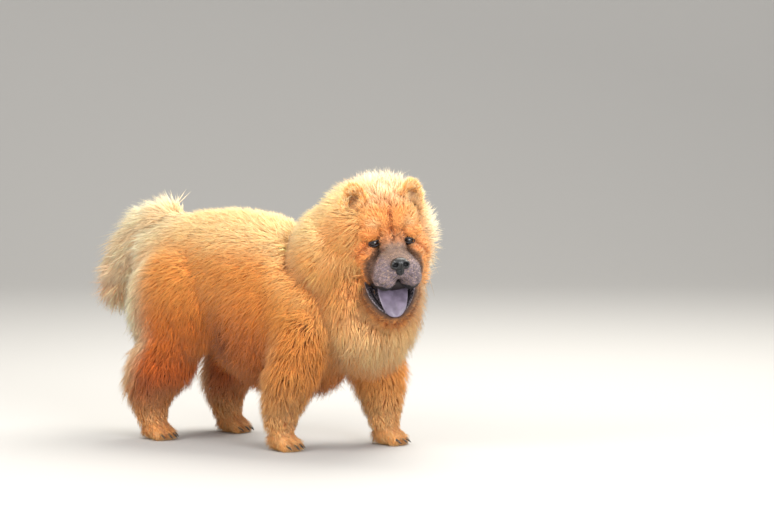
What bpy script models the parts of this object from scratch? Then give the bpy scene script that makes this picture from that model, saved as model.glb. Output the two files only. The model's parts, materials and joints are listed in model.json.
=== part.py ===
"""A life-size chow chow, standing with its head turned to its right and its mouth open.

Metres, +Z up. The dog faces +X, its left side is +Y, and its four soles lie at z = 0.
"""

import math
import random

import bmesh
import bpy
from mathutils import Matrix, Vector

# Where the dog's own origin stands in the part's frame
PLACE = Vector((0.0128, 0.0013, 0.0))

# The gap between neighbours, how deep a lock's root goes in, and the seed of every draw
GAP = 0.0003
ROOT_SINK = 0.012
SEED = 11

# How far each solid core stays inside the tips of its coat
TRUNK_INSET = 0.030
MANE_INSET = 0.036
TAIL_INSET = 0.034
THIGH_INSET = 0.022
LEG_INSET = 0.012
LOCK_THICKNESS = 0.010

# Trunk, to the tips of its coat. Each ring: x, half width, top, bottom
TRUNK_RINGS = (
    (-0.298, 0.050, 0.460, 0.345),
    (-0.272, 0.092, 0.492, 0.300),
    (-0.212, 0.116, 0.518, 0.262),
    (-0.132, 0.130, 0.532, 0.222),
    (-0.052, 0.148, 0.536, 0.180),
    (0.028, 0.160, 0.526, 0.142),
    (0.100, 0.158, 0.500, 0.126),
    (0.168, 0.146, 0.470, 0.140),
    (0.228, 0.118, 0.430, 0.195),
    (0.262, 0.066, 0.380, 0.262),
)
TRUNK_SIDES = 16

# Neck under the mane, to the tips. Each ring: point on the axis, half width, half depth
NECK_RINGS = (
    ((0.115, 0.000, 0.400), 0.080, 0.070),
    ((0.160, 0.000, 0.408), 0.130, 0.112),
    ((0.220, -0.004, 0.436), 0.152, 0.136),
    ((0.275, -0.012, 0.464), 0.156, 0.146),
    ((0.308, -0.014, 0.486), 0.128, 0.124),
    ((0.328, -0.018, 0.496), 0.066, 0.072),
)
NECK_SIDES = 14
BIB_CENTRE = Vector((0.285, 0.006, 0.352))
BIB_RADII = Vector((0.120, 0.152, 0.192))

# Head: the point between the eyes, and how far the head is turned, nodded and rolled
EYE_MIDDLE = Vector((0.380, -0.063, 0.4736))
HEAD_TURN = math.radians(-47.0)
HEAD_NOD = math.radians(2.0)
HEAD_ROLL = math.radians(4.0)
HEAD_CELL = 0.0032
HEAD_TRIANGLES = 1300
EYE_SPREAD = 0.039
EYE_RADIUS = 0.0115
EYE_SET_BACK = 0.010
NOSE_PLACE = Vector((0.077, 0.0, -0.033))
EAR_SPREAD = 0.078
EAR_HEIGHT = 0.104
JAW_HINGE = Vector((-0.040, -0.004, -0.066))
JAW_OPEN = math.radians(47.0)
JAW_ASIDE = math.radians(-7.0)
JAW_LENGTH = 0.134
JAW_HALF_WIDTH = 0.050

# Tail: from the croup up, back and down. Each ring: point, and the coat's reach round it
TAIL_RINGS = (
    ((-0.210, 0.000, 0.478), 0.040),
    ((-0.256, 0.002, 0.492), 0.048),
    ((-0.304, 0.006, 0.472), 0.058),
    ((-0.350, 0.010, 0.432), 0.068),
    ((-0.386, 0.014, 0.388), 0.068),
    ((-0.404, 0.018, 0.342), 0.044),
)
TAIL_SIDES = 12

# Forelegs. Each: name, side (+1 left), points down the leg with their coat radius, paw's middle
FORE_LEGS = (
    (
        "left",
        1,
        (
            ((0.208, 0.098, 0.300), 0.064),
            ((0.224, 0.106, 0.235), 0.064),
            ((0.252, 0.104, 0.160), 0.056),
            ((0.264, 0.101, 0.095), 0.046),
            ((0.268, 0.100, 0.052), 0.041),
        ),
        (0.280, 0.100),
    ),
    (
        "right",
        -1,
        (
            ((0.178, -0.100, 0.300), 0.062),
            ((0.168, -0.110, 0.235), 0.060),
            ((0.144, -0.106, 0.160), 0.050),
            ((0.122, -0.101, 0.095), 0.043),
            ((0.112, -0.100, 0.052), 0.040),
        ),
        (0.124, -0.100),
    ),
)

# Hind legs. Each: name, side, thigh's middle and radii, points down the shank, paw's middle
HIND_LEGS = (
    (
        "left",
        1,
        (Vector((-0.138, 0.092, 0.320)), Vector((0.116, 0.072, 0.142))),
        (
            ((-0.100, 0.102, 0.230), 0.082),
            ((-0.126, 0.099, 0.178), 0.072),
            ((-0.154, 0.094, 0.125), 0.057),
            ((-0.156, 0.092, 0.080), 0.045),
            ((-0.150, 0.091, 0.048), 0.040),
        ),
        (-0.136, 0.091),
    ),
    (
        "right",
        -1,
        (Vector((-0.166, -0.094, 0.315)), Vector((0.124, 0.074, 0.146))),
        (
            ((-0.176, -0.104, 0.230), 0.086),
            ((-0.206, -0.101, 0.178), 0.078),
            ((-0.236, -0.096, 0.125), 0.061),
            ((-0.240, -0.094, 0.080), 0.046),
            ((-0.236, -0.093, 0.048), 0.040),
        ),
        (-0.222, -0.093),
    ),
)
LEG_SIDES = 14
LIMB_CELL = 0.005
LIMB_TRIANGLES = 130
PAW_LENGTH = 0.086
PAW_WIDTH = 0.070
PAW_TRIANGLES = 130


def clear_scene():
    for old in list(bpy.data.objects):
        bpy.data.objects.remove(old)


def material(name, colour, roughness):
    made = bpy.data.materials.new(name)
    made.use_nodes = True
    shader = made.node_tree.nodes["Principled BSDF"]
    shader.inputs["Base Color"].default_value = (*colour, 1.0)
    shader.inputs["Roughness"].default_value = roughness
    shader.inputs["Metallic"].default_value = 0.0
    return made


def new_object(name, bm):
    """Takes the bmesh into a new object of the scene, as triangles that face out."""
    bmesh.ops.recalc_face_normals(bm, faces=bm.faces)
    if bm.calc_volume(signed=True) < 0:
        bmesh.ops.reverse_faces(bm, faces=bm.faces)
    bmesh.ops.triangulate(bm, faces=bm.faces)
    mesh = bpy.data.meshes.new(name)
    bm.to_mesh(mesh)
    bm.free()
    made = bpy.data.objects.new(name, mesh)
    bpy.context.scene.collection.objects.link(made)
    return made


def egg(centre, radii, turn=None, sides=14, rows=9):
    """A closed egg at centre, with its poles along its own x axis, which turn then points."""
    bm = bmesh.new()
    bmesh.ops.create_uvsphere(bm, u_segments=sides, v_segments=rows, radius=1.0)
    size = Matrix.Diagonal((*radii, 1.0))
    poles = Matrix.Rotation(math.pi / 2, 4, "Y")
    bm.transform(Matrix.Translation(centre) @ (turn or Matrix.Identity(4)) @ size @ poles)
    return new_object("piece", bm)


def ring_loft(rings, cap_rise=0.35):
    """A closed tube through rings of points, each end drawn to a low point."""
    bm = bmesh.new()
    loops = [[bm.verts.new(p) for p in ring] for ring in rings]
    sides = len(loops[0])
    for low, high in zip(loops, loops[1:]):
        for i in range(sides):
            j = (i + 1) % sides
            bm.faces.new((low[i], low[j], high[j], high[i]))
    for loop, inner in ((loops[0], loops[1]), (loops[-1], loops[-2])):
        middle = sum((v.co for v in loop), Vector()) / sides
        inside = sum((v.co for v in inner), Vector()) / sides
        radius = sum((v.co - middle).length for v in loop) / sides
        tip = bm.verts.new(middle + (middle - inside).normalized() * radius * cap_rise)
        for i in range(sides):
            bm.faces.new((loop[i], loop[(i + 1) % sides], tip))
    return new_object("piece", bm)


def tube(points, sides, cap_rise=0.35):
    """A closed round limb through points, each with its radius."""
    rings = []
    places = [Vector(p) for p, _ in points]
    for k, (_, radius) in enumerate(points):
        along = (places[min(k + 1, len(places) - 1)] - places[max(k - 1, 0)]).normalized()
        aside = Vector((1, 0, 0)) if abs(along.x) < 0.7 else Vector((0, 0, 1))
        across = along.cross(aside).normalized()
        up = across.cross(along).normalized()
        ring = []
        for i in range(sides):
            a = 2 * math.pi * i / sides
            ring.append(places[k] + (across * math.cos(a) + up * math.sin(a)) * radius)
        rings.append(ring)
    return ring_loft(rings, cap_rise)


def lock(root, normal, lie, length, width, rise, thickness=LOCK_THICKNESS):
    """A flat tapered lock of coat with a ridge along its back.

    It comes out of the body at root, bends over along its lie, and ends at rise above the root.
    """
    normal = normal.normalized()
    lie = (lie - normal * lie.dot(normal)).normalized()
    run = math.sqrt(max(length * length - rise * rise, 0.0))
    start = root - normal * ROOT_SINK
    bend = root + normal * rise * 0.85 + lie * run * 0.30
    end = root + normal * rise + lie * run
    bm = bmesh.new()
    loops = []
    for t, wide in ((0.0, 0.80), (0.42, 1.0), (0.76, 0.64)):
        point = start * (1 - t) ** 2 + bend * 2 * t * (1 - t) + end * t * t
        along = ((bend - start) * (1 - t) + (end - bend) * t).normalized()
        side = along.cross(normal).normalized()
        face = side.cross(along).normalized()
        half = width * 0.5 * wide
        ridge = thickness * (0.4 + 0.6 * wide)
        loops.append([bm.verts.new(point + side * half)])
        loops[-1].append(bm.verts.new(point + face * ridge))
        loops[-1].append(bm.verts.new(point - side * half))
    for low, high in zip(loops, loops[1:]):
        for i in range(3):
            j = (i + 1) % 3
            bm.faces.new((low[i], low[j], high[j], high[i]))
    tip = bm.verts.new(end)
    for i in range(3):
        bm.faces.new((loops[-1][i], loops[-1][(i + 1) % 3], tip))
    bm.faces.new(loops[0])
    return new_object("piece", bm)


def take_result(obj):
    """Applies the object's modifiers to its mesh."""
    graph = bpy.context.evaluated_depsgraph_get()
    made = bpy.data.meshes.new_from_object(obj.evaluated_get(graph))
    obj.modifiers.clear()
    obj.data = made


def keep_largest(obj):
    """Drops every closed surface of the mesh but the one with the largest box."""
    bm = bmesh.new()
    bm.from_mesh(obj.data)
    left = set(bm.verts)
    islands = []
    while left:
        start = left.pop()
        island, queue = [start], [start]
        while queue:
            for edge in queue.pop().link_edges:
                for v in edge.verts:
                    if v in left:
                        left.discard(v)
                        island.append(v)
                        queue.append(v)
        low = [min(v.co[i] for v in island) for i in range(3)]
        high = [max(v.co[i] for v in island) for i in range(3)]
        islands.append((math.dist(low, high), island))
    islands.sort(key=lambda pair: pair[0])
    loose = [v for _, island in islands[:-1] for v in island]
    bmesh.ops.delete(bm, geom=loose, context="VERTS")
    bm.to_mesh(obj.data)
    bm.free()


def fatten(piece, grow):
    """Moves every face of a closed piece out by at least grow, or in where grow is negative."""
    bm = bmesh.new()
    bm.from_mesh(piece.data)
    bm.normal_update()
    ways = []
    for v in bm.verts:
        spread = Matrix.Identity(3) * 0.02
        total = Vector()
        for face in v.link_faces:
            n = face.normal
            spread += Matrix((n * n.x, n * n.y, n * n.z))
            total += n
        way = spread.inverted() @ total
        least = min(face.normal.dot(way) for face in v.link_faces)
        ways.append(way / max(least, 0.2))
    for v, way in zip(bm.verts, ways):
        v.co += way * grow
    bm.to_mesh(piece.data)
    bm.free()
    return piece


def fuse(name, pieces, grow=0.0):
    """Joins closed pieces into one closed body by one union, then drops hollows and scraps."""
    if grow:
        pieces = [fatten(piece, grow) for piece in pieces]
    first, rest = pieces[0], pieces[1:]
    first.name = name
    if rest:
        group = bpy.data.collections.new(name + "_pieces")
        bpy.context.scene.collection.children.link(group)
        for piece in rest:
            bpy.context.scene.collection.objects.unlink(piece)
            group.objects.link(piece)
        step = first.modifiers.new("join", "BOOLEAN")
        step.operation = "UNION"
        step.solver = "MANIFOLD"
        step.operand_type = "COLLECTION"
        step.collection = group
        take_result(first)
        for piece in list(group.objects):
            bpy.data.objects.remove(piece)
        bpy.data.collections.remove(group)
    keep_largest(first)
    return first


def cut(obj, *cutters):
    """Takes the cutters out of obj, removes them, and keeps the largest piece that is left."""
    for cutter in cutters:
        step = obj.modifiers.new("cut", "BOOLEAN")
        step.operation = "DIFFERENCE"
        step.solver = "MANIFOLD"
        step.object = cutter
        take_result(obj)
        bpy.data.objects.remove(cutter)
    keep_largest(obj)
    return obj


def moulded(pieces, cell, triangles):
    """Melts overlapping closed pieces into one smooth closed piece of about this many triangles."""
    bm = bmesh.new()
    for piece in pieces:
        bm.from_mesh(piece.data)
        bpy.data.objects.remove(piece)
    made = new_object("piece", bm)
    skin = made.modifiers.new("skin", "REMESH")
    skin.mode = "VOXEL"
    skin.voxel_size = cell
    soften = made.modifiers.new("soften", "SMOOTH")
    soften.factor = 0.5
    soften.iterations = 5
    take_result(made)
    thin = made.modifiers.new("thin", "DECIMATE")
    thin.ratio = triangles / (2 * len(made.data.polygons))
    take_result(made)
    bm = bmesh.new()
    bm.from_mesh(made.data)
    bmesh.ops.triangulate(bm, faces=bm.faces)
    bm.to_mesh(made.data)
    bm.free()
    return made


# Trunk


def trunk_ring(x):
    """Half width, top and bottom of the trunk's coat at x, between the rings."""
    for low, high in zip(TRUNK_RINGS, TRUNK_RINGS[1:]):
        if low[0] <= x <= high[0]:
            t = (x - low[0]) / (high[0] - low[0])
            return [low[k] + (high[k] - low[k]) * t for k in (1, 2, 3)]
    return list(TRUNK_RINGS[0 if x < 0 else -1][1:])


def trunk_point(x, angle, inset):
    """A point of the trunk at x, at an angle up from its left side."""
    half, top, bottom = trunk_ring(x)
    middle, tall = (top + bottom) / 2, (top - bottom) / 2
    wide = math.copysign(abs(math.cos(angle)) ** 0.9, math.cos(angle))
    return Vector((x, (half - inset) * wide, middle + (tall - inset) * math.sin(angle)))


def trunk_core(inset):
    rings = []
    first, last = TRUNK_RINGS[0][0], TRUNK_RINGS[-1][0]
    for x, half, _, _ in TRUNK_RINGS:
        depth = min(inset, half * 0.45)
        ring = [trunk_point(x, 2 * math.pi * i / TRUNK_SIDES, depth) for i in range(TRUNK_SIDES)]
        shift = inset * 0.8 if x == first else -inset * 0.3 if x == last else 0.0
        rings.append([p + Vector((shift, 0, 0)) for p in ring])
    return ring_loft(rings)


TRUNK_ROWS = 5
TRUNK_COLUMNS = 11
TRUNK_ROW_START = 0.060
TRUNK_ROW_STEP = 0.074


def under_thigh(point):
    return abs(point.y) > 0.055 and point.z < 0.425 and point.x < -0.055


def trunk_locks():
    """Rows of locks from the withers to the rump, lying back on top and down along the flanks."""
    draw = random.Random(SEED)
    made = []
    for row in range(TRUNK_ROWS):
        for column in range(TRUNK_COLUMNS):
            turn = (column + 0.5 * (row % 2) + draw.uniform(-0.12, 0.12)) / TRUNK_COLUMNS
            angle = 2 * math.pi * turn
            x = TRUNK_ROW_START - TRUNK_ROW_STEP * row + draw.uniform(-0.008, 0.008)
            length = draw.uniform(0.096, 0.114)
            width = draw.uniform(0.084, 0.096)
            root = trunk_point(x, angle, TRUNK_INSET)
            if under_thigh(root) or math.sin(angle) < -0.93:
                continue
            normal = Vector((-0.06, math.cos(angle), math.sin(angle)))
            lie = Vector((-1.0, 0.0, -0.2 - 1.3 * abs(math.cos(angle))))
            if math.sin(angle) < -0.5:
                lie = Vector((-0.5, 0.8 * math.cos(angle), -1.0))
                normal = Vector((0.0, math.cos(angle), -0.5))
            made.append(lock(root, normal, lie, length, width, TRUNK_INSET))
    return made


def torso(grow=0.0):
    return fuse("torso", [trunk_core(TRUNK_INSET)] + trunk_locks(), grow)


# Neck, mane and bib


def neck_core():
    rings = []
    places = [Vector(p) for p, _, _ in NECK_RINGS]
    for k, (_, wide, deep) in enumerate(NECK_RINGS):
        along = (places[min(k + 1, len(places) - 1)] - places[max(k - 1, 0)]).normalized()
        across = Vector((0, 0, 1)).cross(along).normalized()
        up = along.cross(across).normalized()
        ring = []
        for i in range(NECK_SIDES):
            a = 2 * math.pi * i / NECK_SIDES
            reach = across * math.cos(a) * (wide - MANE_INSET)
            ring.append(places[k] + reach + up * math.sin(a) * (deep - MANE_INSET))
        rings.append(ring)
    return ring_loft(rings)


# Each row of the mane: its share of the way from the head to the shoulders, radius and rise
MANE_ROWS = ((0.02, 0.100, 0.044), (0.40, 0.104, 0.034), (0.78, 0.104, 0.034))
MANE_COLUMNS = 11


def mane_locks():
    """Rings of locks round the neck, from behind the head back over the shoulders."""
    draw = random.Random(SEED + 1)
    made = []
    start, end = Vector(NECK_RINGS[4][0]), Vector(NECK_RINGS[1][0])
    along = (end - start).normalized()
    across = Vector((0, 1, 0))
    up = across.cross(along).normalized()
    for row, (share, radius, rise) in enumerate(MANE_ROWS):
        for column in range(MANE_COLUMNS):
            turn = (column + 0.5 * (row % 2) + draw.uniform(-0.12, 0.12)) / MANE_COLUMNS
            angle = 2 * math.pi * turn
            length = draw.uniform(0.098, 0.114)
            width = draw.uniform(0.074, 0.086)
            if math.sin(angle) < -0.55:
                continue
            normal = across * math.cos(angle) + up * math.sin(angle)
            root = start.lerp(end, share) + normal * radius
            fall = 0.30 + 0.9 * max(0.0, 0.45 - math.sin(angle))
            lie = along + Vector((0, 0, -fall))
            made.append(lock(root, normal, lie, length, width, rise))
    return made


# Heights of the bib's rows of locks
BIB_ROWS = (0.390, 0.318, 0.248)
BIB_COLUMNS = 6
BIB_SWEEP = math.radians(192)


def bib_locks():
    """Rows of locks that hang down the front of the chest."""
    draw = random.Random(SEED + 2)
    made = []
    radii = BIB_RADII - Vector((MANE_INSET, MANE_INSET, MANE_INSET))
    for row, height in enumerate(BIB_ROWS):
        level = (height - BIB_CENTRE.z) / radii.z
        ring = math.sqrt(1 - level * level)
        for column in range(BIB_COLUMNS):
            share = (column + 0.5 * (row % 2) + draw.uniform(-0.1, 0.1)) / (BIB_COLUMNS - 0.5)
            angle = BIB_SWEEP * (share - 0.5)
            length = draw.uniform(0.100, 0.116)
            width = draw.uniform(0.072, 0.084)
            out = Vector((radii.x * math.cos(angle), radii.y * math.sin(angle), 0)) * ring
            root = Vector((BIB_CENTRE.x, BIB_CENTRE.y, height)) + out
            normal = Vector((out.x / radii.x**2, out.y / radii.y**2, level / radii.z))
            lie = Vector((-0.15, 0.10 * math.sin(angle), -1.0))
            made.append(lock(root, normal, lie, length, width, MANE_INSET + 0.008))
    return made


def neck(grow=0.0):
    return fuse("neck", [neck_core()] + mane_locks(), grow)


def chest(grow=0.0):
    """The breast and its bib, in front of the shoulders and under the mane."""
    radii = BIB_RADII - Vector((MANE_INSET, MANE_INSET, MANE_INSET))
    turn = Matrix.Rotation(math.pi / 2, 4, "Y")
    core = egg(BIB_CENTRE, (radii.z, radii.y, radii.x), turn, 14, 9)
    return fuse("chest", [core] + bib_locks(), grow)


# Head


def head_matrix():
    turn = Matrix.Rotation(HEAD_TURN, 4, "Z")
    nod = Matrix.Rotation(HEAD_NOD, 4, "Y")
    roll = Matrix.Rotation(HEAD_ROLL, 4, "X")
    return Matrix.Translation(EYE_MIDDLE) @ turn @ nod @ roll


def in_head(forward, left, up):
    """A point given in the head's own frame, which starts between the eyes."""
    return head_matrix() @ Vector((forward, left, up))


def head_way(forward, left, up):
    """A direction given in the head's own frame."""
    return (head_matrix().to_3x3() @ Vector((forward, left, up))).normalized()


def head_egg(place, radii, sides=14, rows=9, pitch=0.0, yaw=0.0):
    """An egg in the head's frame, its long axis pitched down and turned to the left."""
    turn = head_matrix().to_3x3().to_4x4()
    turn = turn @ Matrix.Rotation(yaw, 4, "Z") @ Matrix.Rotation(pitch, 4, "Y")
    return egg(in_head(*place), radii, turn, sides, rows)


def head_forms():
    """The skull, cheeks, brows and muzzle as overlapping eggs."""
    forms = [
        head_egg((-0.074, 0.0, 0.048), (0.086, 0.090, 0.090), 24, 16),
        head_egg((0.022, 0.0, -0.038), (0.053, 0.044, 0.032), 24, 16, pitch=0.10),
        head_egg((-0.022, 0.0, -0.060), (0.060, 0.050, 0.034), 20, 12),
    ]
    for side in (1, -1):
        forms += [
            head_egg((-0.044, side * 0.056, -0.026), (0.052, 0.046, 0.052), 20, 12),
            head_egg((-0.034, side * 0.054, -0.066), (0.046, 0.040, 0.046), 20, 12),
            head_egg((0.026, side * 0.028, -0.060), (0.047, 0.026, 0.036), 20, 12, pitch=0.16),
            head_egg((0.046, side * 0.018, -0.052), (0.026, 0.022, 0.024), 16, 10),
            head_egg((-0.016, side * 0.028, 0.052), (0.032, 0.030, 0.046), 16, 10),
            head_egg((-0.003, side * 0.042, 0.022), (0.022, 0.028, 0.014), 16, 10, 0.0, -side * 0.3),
            head_egg((0.010, side * 0.015, 0.008), (0.013, 0.010, 0.018), 12, 8),
            head_egg((-0.004, side * 0.044, -0.024), (0.022, 0.029, 0.014), 16, 10, 0.0, -side * 0.3),
        ]
    return forms


def eyelid(side, upper):
    """A lid: a short bent roll over or under the eyeball."""
    points = []
    for k in range(5):
        a = math.radians(-78 + 39 * k)
        out = math.sin(a) * EYE_RADIUS * 1.22
        rise = math.cos(a) * EYE_RADIUS * (0.66 if upper else -0.70) - 0.18 * side * out
        ahead = -EYE_SET_BACK + EYE_RADIUS * (0.40 + 0.62 * math.cos(a))
        radius = 0.0048 if upper else 0.0040
        points.append((in_head(ahead, side * EYE_SPREAD + out, rise), radius))
    return tube(points, 6)


def eye_opening(side):
    """The slit between the lids, cut back to the eyeball."""
    place = (EYE_RADIUS - EYE_SET_BACK + 0.004, side * EYE_SPREAD, -0.0006)
    return head_egg(place, (0.020, EYE_RADIUS * 1.05, 0.0062), 12, 8)


def eyeball(side, grow=0.0):
    place = (-EYE_SET_BACK, side * EYE_SPREAD, 0.0)
    name = "eye_left" if side > 0 else "eye_right"
    return fuse(name, [head_egg(place, (EYE_RADIUS,) * 3, 10, 7)], grow)


# Each ring of the ruff: how far back it stands, its radius, number of locks and their length,
# how high up it starts and ends as a share of the radius, and how far its locks rise
RUFF_RINGS = (
    (-0.056, 0.094, 14, 0.084, -0.72, 0.62, 0.040),
    (-0.112, 0.076, 9, 0.084, 0.10, 1.00, 0.036),
)


def ruff_locks():
    """Locks that stand out round the face, from brow level down under the cheeks."""
    draw = random.Random(SEED + 3)
    made = []
    for back, radius, count, reach, low, high, rise in RUFF_RINGS:
        for column in range(count):
            turn = (column + draw.uniform(-0.1, 0.1)) / count
            angle = 2 * math.pi * turn
            length = reach * draw.uniform(0.92, 1.06)
            width = draw.uniform(0.056, 0.064)
            across, up = math.cos(angle), math.sin(angle)
            if not low < up < high:
                continue
            root = in_head(back, across * radius, up * radius + 0.030 * (low > 0))
            normal = head_way(0.05, across, up)
            lie = head_way(-1.0, 0.2 * across, -0.9)
            made.append(lock(root, normal, lie, length, width, rise))
    return made


def head(grow=0.0, locks=True):
    pieces = [moulded(head_forms(), HEAD_CELL, HEAD_TRIANGLES)]
    for side in (1, -1):
        pieces += [eyelid(side, True), eyelid(side, False)]
    if locks:
        pieces += ruff_locks()
    made = fuse("head", pieces, grow)
    if grow == 0.0:
        for side in (1, -1):
            cut(made, eye_opening(side), eyeball(side, GAP))
    return made


def jaw_matrix():
    swing = Matrix.Rotation(JAW_ASIDE, 4, "Z") @ Matrix.Rotation(JAW_OPEN, 4, "Y")
    return head_matrix() @ Matrix.Translation(JAW_HINGE) @ swing


def jaw_point(x, y, z):
    """A point given in the open jaw's frame: x along the jaw, z up off its floor."""
    return jaw_matrix() @ Vector((x, y, z))


def jaw_egg(place, radii, sides=14, rows=9):
    return egg(jaw_point(*place), radii, jaw_matrix().to_3x3().to_4x4(), sides, rows)


def jaw(grow=0.0, scooped=True):
    """The lower jaw: a scoop with a lip round it, open to the front and above."""
    forms = [
        jaw_egg((JAW_LENGTH * 0.52, 0, -0.022), (JAW_LENGTH * 0.48, JAW_HALF_WIDTH, 0.032), 24, 14),
        jaw_egg((JAW_LENGTH * 0.74, 0, -0.014), (JAW_LENGTH * 0.25, 0.041, 0.026), 20, 12),
    ]
    for side in (1, -1):
        forms.append(jaw_egg((0.050, side * 0.043, -0.002), (0.042, 0.014, 0.024), 16, 10))
    made = fuse("jaw", [moulded(forms, 0.003, 260)], grow)
    if scooped:
        size = (JAW_LENGTH * 0.425, 0.037, 0.034)
        scoop = jaw_egg((JAW_LENGTH * 0.53, 0, 0.014), size, 14, 9)
        cut(made, fatten(scoop, -grow))
    return made


def tongue(grow=0.0):
    """The tongue lies in the jaw and reaches out to its front lip."""
    rings = []
    for share, wide, rise in (
        (0.12, 0.85, 0.000),
        (0.36, 1.00, 0.002),
        (0.62, 1.00, 0.002),
        (0.82, 0.78, 0.001),
        (0.92, 0.42, 0.000),
    ):
        ring = []
        for i in range(10):
            a = 2 * math.pi * (i + 0.5) / 10
            groove = 0.0035 * max(0.0, math.sin(a)) ** 6 * wide
            lift = math.sin(a) * (0.009 if math.sin(a) > 0 else 0.030 * wide)
            out = math.cos(a) * 0.034 * wide
            ring.append(jaw_point(JAW_LENGTH * share, out, rise + lift - groove))
        rings.append(ring)
    return fuse("tongue", [ring_loft(rings, 0.5)], grow)


def nose():
    """The nose pad, with its two nostrils and the groove below them."""
    forms = [
        head_egg(NOSE_PLACE, (0.014, 0.0185, 0.0125), 16, 12),
        head_egg(NOSE_PLACE + Vector((-0.002, 0, -0.012)), (0.011, 0.009, 0.009), 12, 8),
    ]
    for side in (1, -1):
        wing = NOSE_PLACE + Vector((0.003, side * 0.0115, -0.002))
        forms.append(head_egg(wing, (0.012, 0.008, 0.009), 12, 8))
    made = moulded(forms, 0.0016, 150)
    made.name = "nose"
    cutters = []
    for side in (1, -1):
        place = NOSE_PLACE + Vector((0.0150, side * 0.0085, -0.0010))
        cutters.append(head_egg(place, (0.0090, 0.0044, 0.0038), 8, 6, yaw=side * 0.55))
    return cut(made, head(GAP, False), *cutters)


def ear(side, grow=0.0):
    """A small rounded ear with its cup in front, held upright and a little forward."""
    turn = head_matrix().to_3x3().to_4x4() @ Matrix.Rotation(side * 0.40, 4, "Z")
    turn = turn @ Matrix.Rotation(side * 0.16, 4, "X") @ Matrix.Rotation(0.16, 4, "Y")
    place = in_head(-0.046, side * EAR_SPREAD, EAR_HEIGHT)
    low = turn.to_3x3() @ Vector((-0.006, 0.0, -0.030))
    forms = [
        egg(place, (0.017, 0.030, 0.043), turn, 20, 14),
        egg(place + low, (0.024, 0.034, 0.030), turn, 20, 12),
    ]
    name = "ear_left" if side > 0 else "ear_right"
    made = fuse(name, [moulded(forms, 0.003, 130)], grow)
    ahead = turn.to_3x3() @ Vector((0.019, 0.0, -0.002))
    cup = egg(place + ahead, (0.021, 0.019, 0.031), turn, 10, 8)
    return cut(made, fatten(cup, -grow))


# Tail


def tail_core():
    points = [(p, max(r - TAIL_INSET, 0.014)) for p, r in TAIL_RINGS]
    return moulded([tube(points, TAIL_SIDES)], LIMB_CELL, LIMB_TRIANGLES)


TAIL_COLUMNS = 4


def tail_locks():
    """A plume of locks round the tail that run back and hang past its tip."""
    draw = random.Random(SEED + 5)
    made = []
    for k in range(1, len(TAIL_RINGS)):
        place, reach = Vector(TAIL_RINGS[k][0]), TAIL_RINGS[k][1]
        along = (place - Vector(TAIL_RINGS[k - 1][0])).normalized()
        across = Vector((0, 1, 0))
        up = across.cross(along).normalized()
        up = up if up.z > 0 else -up
        for column in range(TAIL_COLUMNS):
            turn = (column + 0.5 * (k % 2) + draw.uniform(-0.1, 0.1)) / TAIL_COLUMNS
            angle = 2 * math.pi * turn
            length = draw.uniform(0.086, 0.100)
            width = draw.uniform(0.058, 0.068)
            normal = across * math.cos(angle) + up * math.sin(angle)
            if place.x > -0.30 and normal.z < 0.2:
                continue
            root = place - along * 0.015 + normal * max(reach - TAIL_INSET, 0.014)
            lie = along + Vector((-0.20, 0, -0.30 * (math.sin(angle) < 0.3)))
            rise = min(TAIL_INSET, reach - 0.020) * (0.6 if k == 1 else 1.0)
            made.append(lock(root, normal, lie, length, width, rise))
    return made


def tail():
    made = fuse("tail", [tail_core()] + tail_locks())
    return cut(made, torso(GAP))


# Legs


def leg_root(points, share, angle):
    """A point on a leg's core and the way out of it: share runs down, angle turns from ahead."""
    at = share * (len(points) - 1)
    k = min(int(at), len(points) - 2)
    centre = Vector(points[k][0]).lerp(Vector(points[k + 1][0]), at - k)
    radius = points[k][1] + (points[k + 1][1] - points[k][1]) * (at - k)
    normal = Vector((math.cos(angle), math.sin(angle), 0.0))
    return centre + normal * (radius - LEG_INSET), normal


# A foreleg's rows of locks: share of the way down, middle turn, spread and number
FORE_LOCKS = ((0.04, 95, 46, 3), (0.34, 150, 56, 2), (0.62, 180, 56, 2))


def foreleg(index, grow=0.0):
    """A foreleg down to the wrist, with feathering behind it."""
    name, side, points, _ = FORE_LEGS[index]
    draw = random.Random(SEED + 6 + index)
    core = tube([(p, r - LEG_INSET) for p, r in points], LEG_SIDES)
    pieces = [moulded([core], LIMB_CELL, LIMB_TRIANGLES)]
    for share, middle, spread, count in FORE_LOCKS:
        for column in range(count):
            angle = math.radians(middle + spread * (column - 0.5 * (count - 1))) * side
            root, normal = leg_root(points, share, angle + draw.uniform(-0.1, 0.1))
            length = draw.uniform(0.084, 0.094) * (1.0 - 0.3 * share)
            pieces.append(lock(root, normal, Vector((-0.10, 0, -1.0)), length, 0.054, 0.020))
    return fuse("foreleg_" + name, pieces, grow)


# Heights of a thigh's rows of locks above its middle
THIGH_ROWS = (0.066, 0.000, -0.062)
THIGH_COLUMNS = 4


def thigh(index, grow=0.0):
    """A thigh with the long breeches behind it."""
    name, side, (centre, radii), _, _ = HIND_LEGS[index]
    draw = random.Random(SEED + 8 + index)
    inner = radii - Vector((THIGH_INSET, THIGH_INSET, THIGH_INSET))
    turn = Matrix.Rotation(math.pi / 2, 4, "Y")
    pieces = [egg(centre, (inner.z, inner.y, inner.x), turn, 14, 9)]
    for row, height in enumerate(THIGH_ROWS):
        level = height / inner.z
        ring = math.sqrt(1 - level * level)
        for column in range(THIGH_COLUMNS):
            share = column + 0.5 * (row % 2) + draw.uniform(-0.08, 0.08)
            angle = side * math.radians(50 + 38 * share)
            length = draw.uniform(0.090, 0.106)
            width = draw.uniform(0.070, 0.082)
            out = Vector((inner.x * math.cos(angle), inner.y * math.sin(angle), 0)) * ring
            root = centre + Vector((0, 0, height)) + out
            normal = Vector((out.x / inner.x**2, out.y / inner.y**2, level / inner.z))
            lie = Vector((-0.30, 0.0, -1.0))
            pieces.append(lock(root, normal, lie, length, width, THIGH_INSET))
    return fuse("thigh_" + name, pieces, grow)


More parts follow.
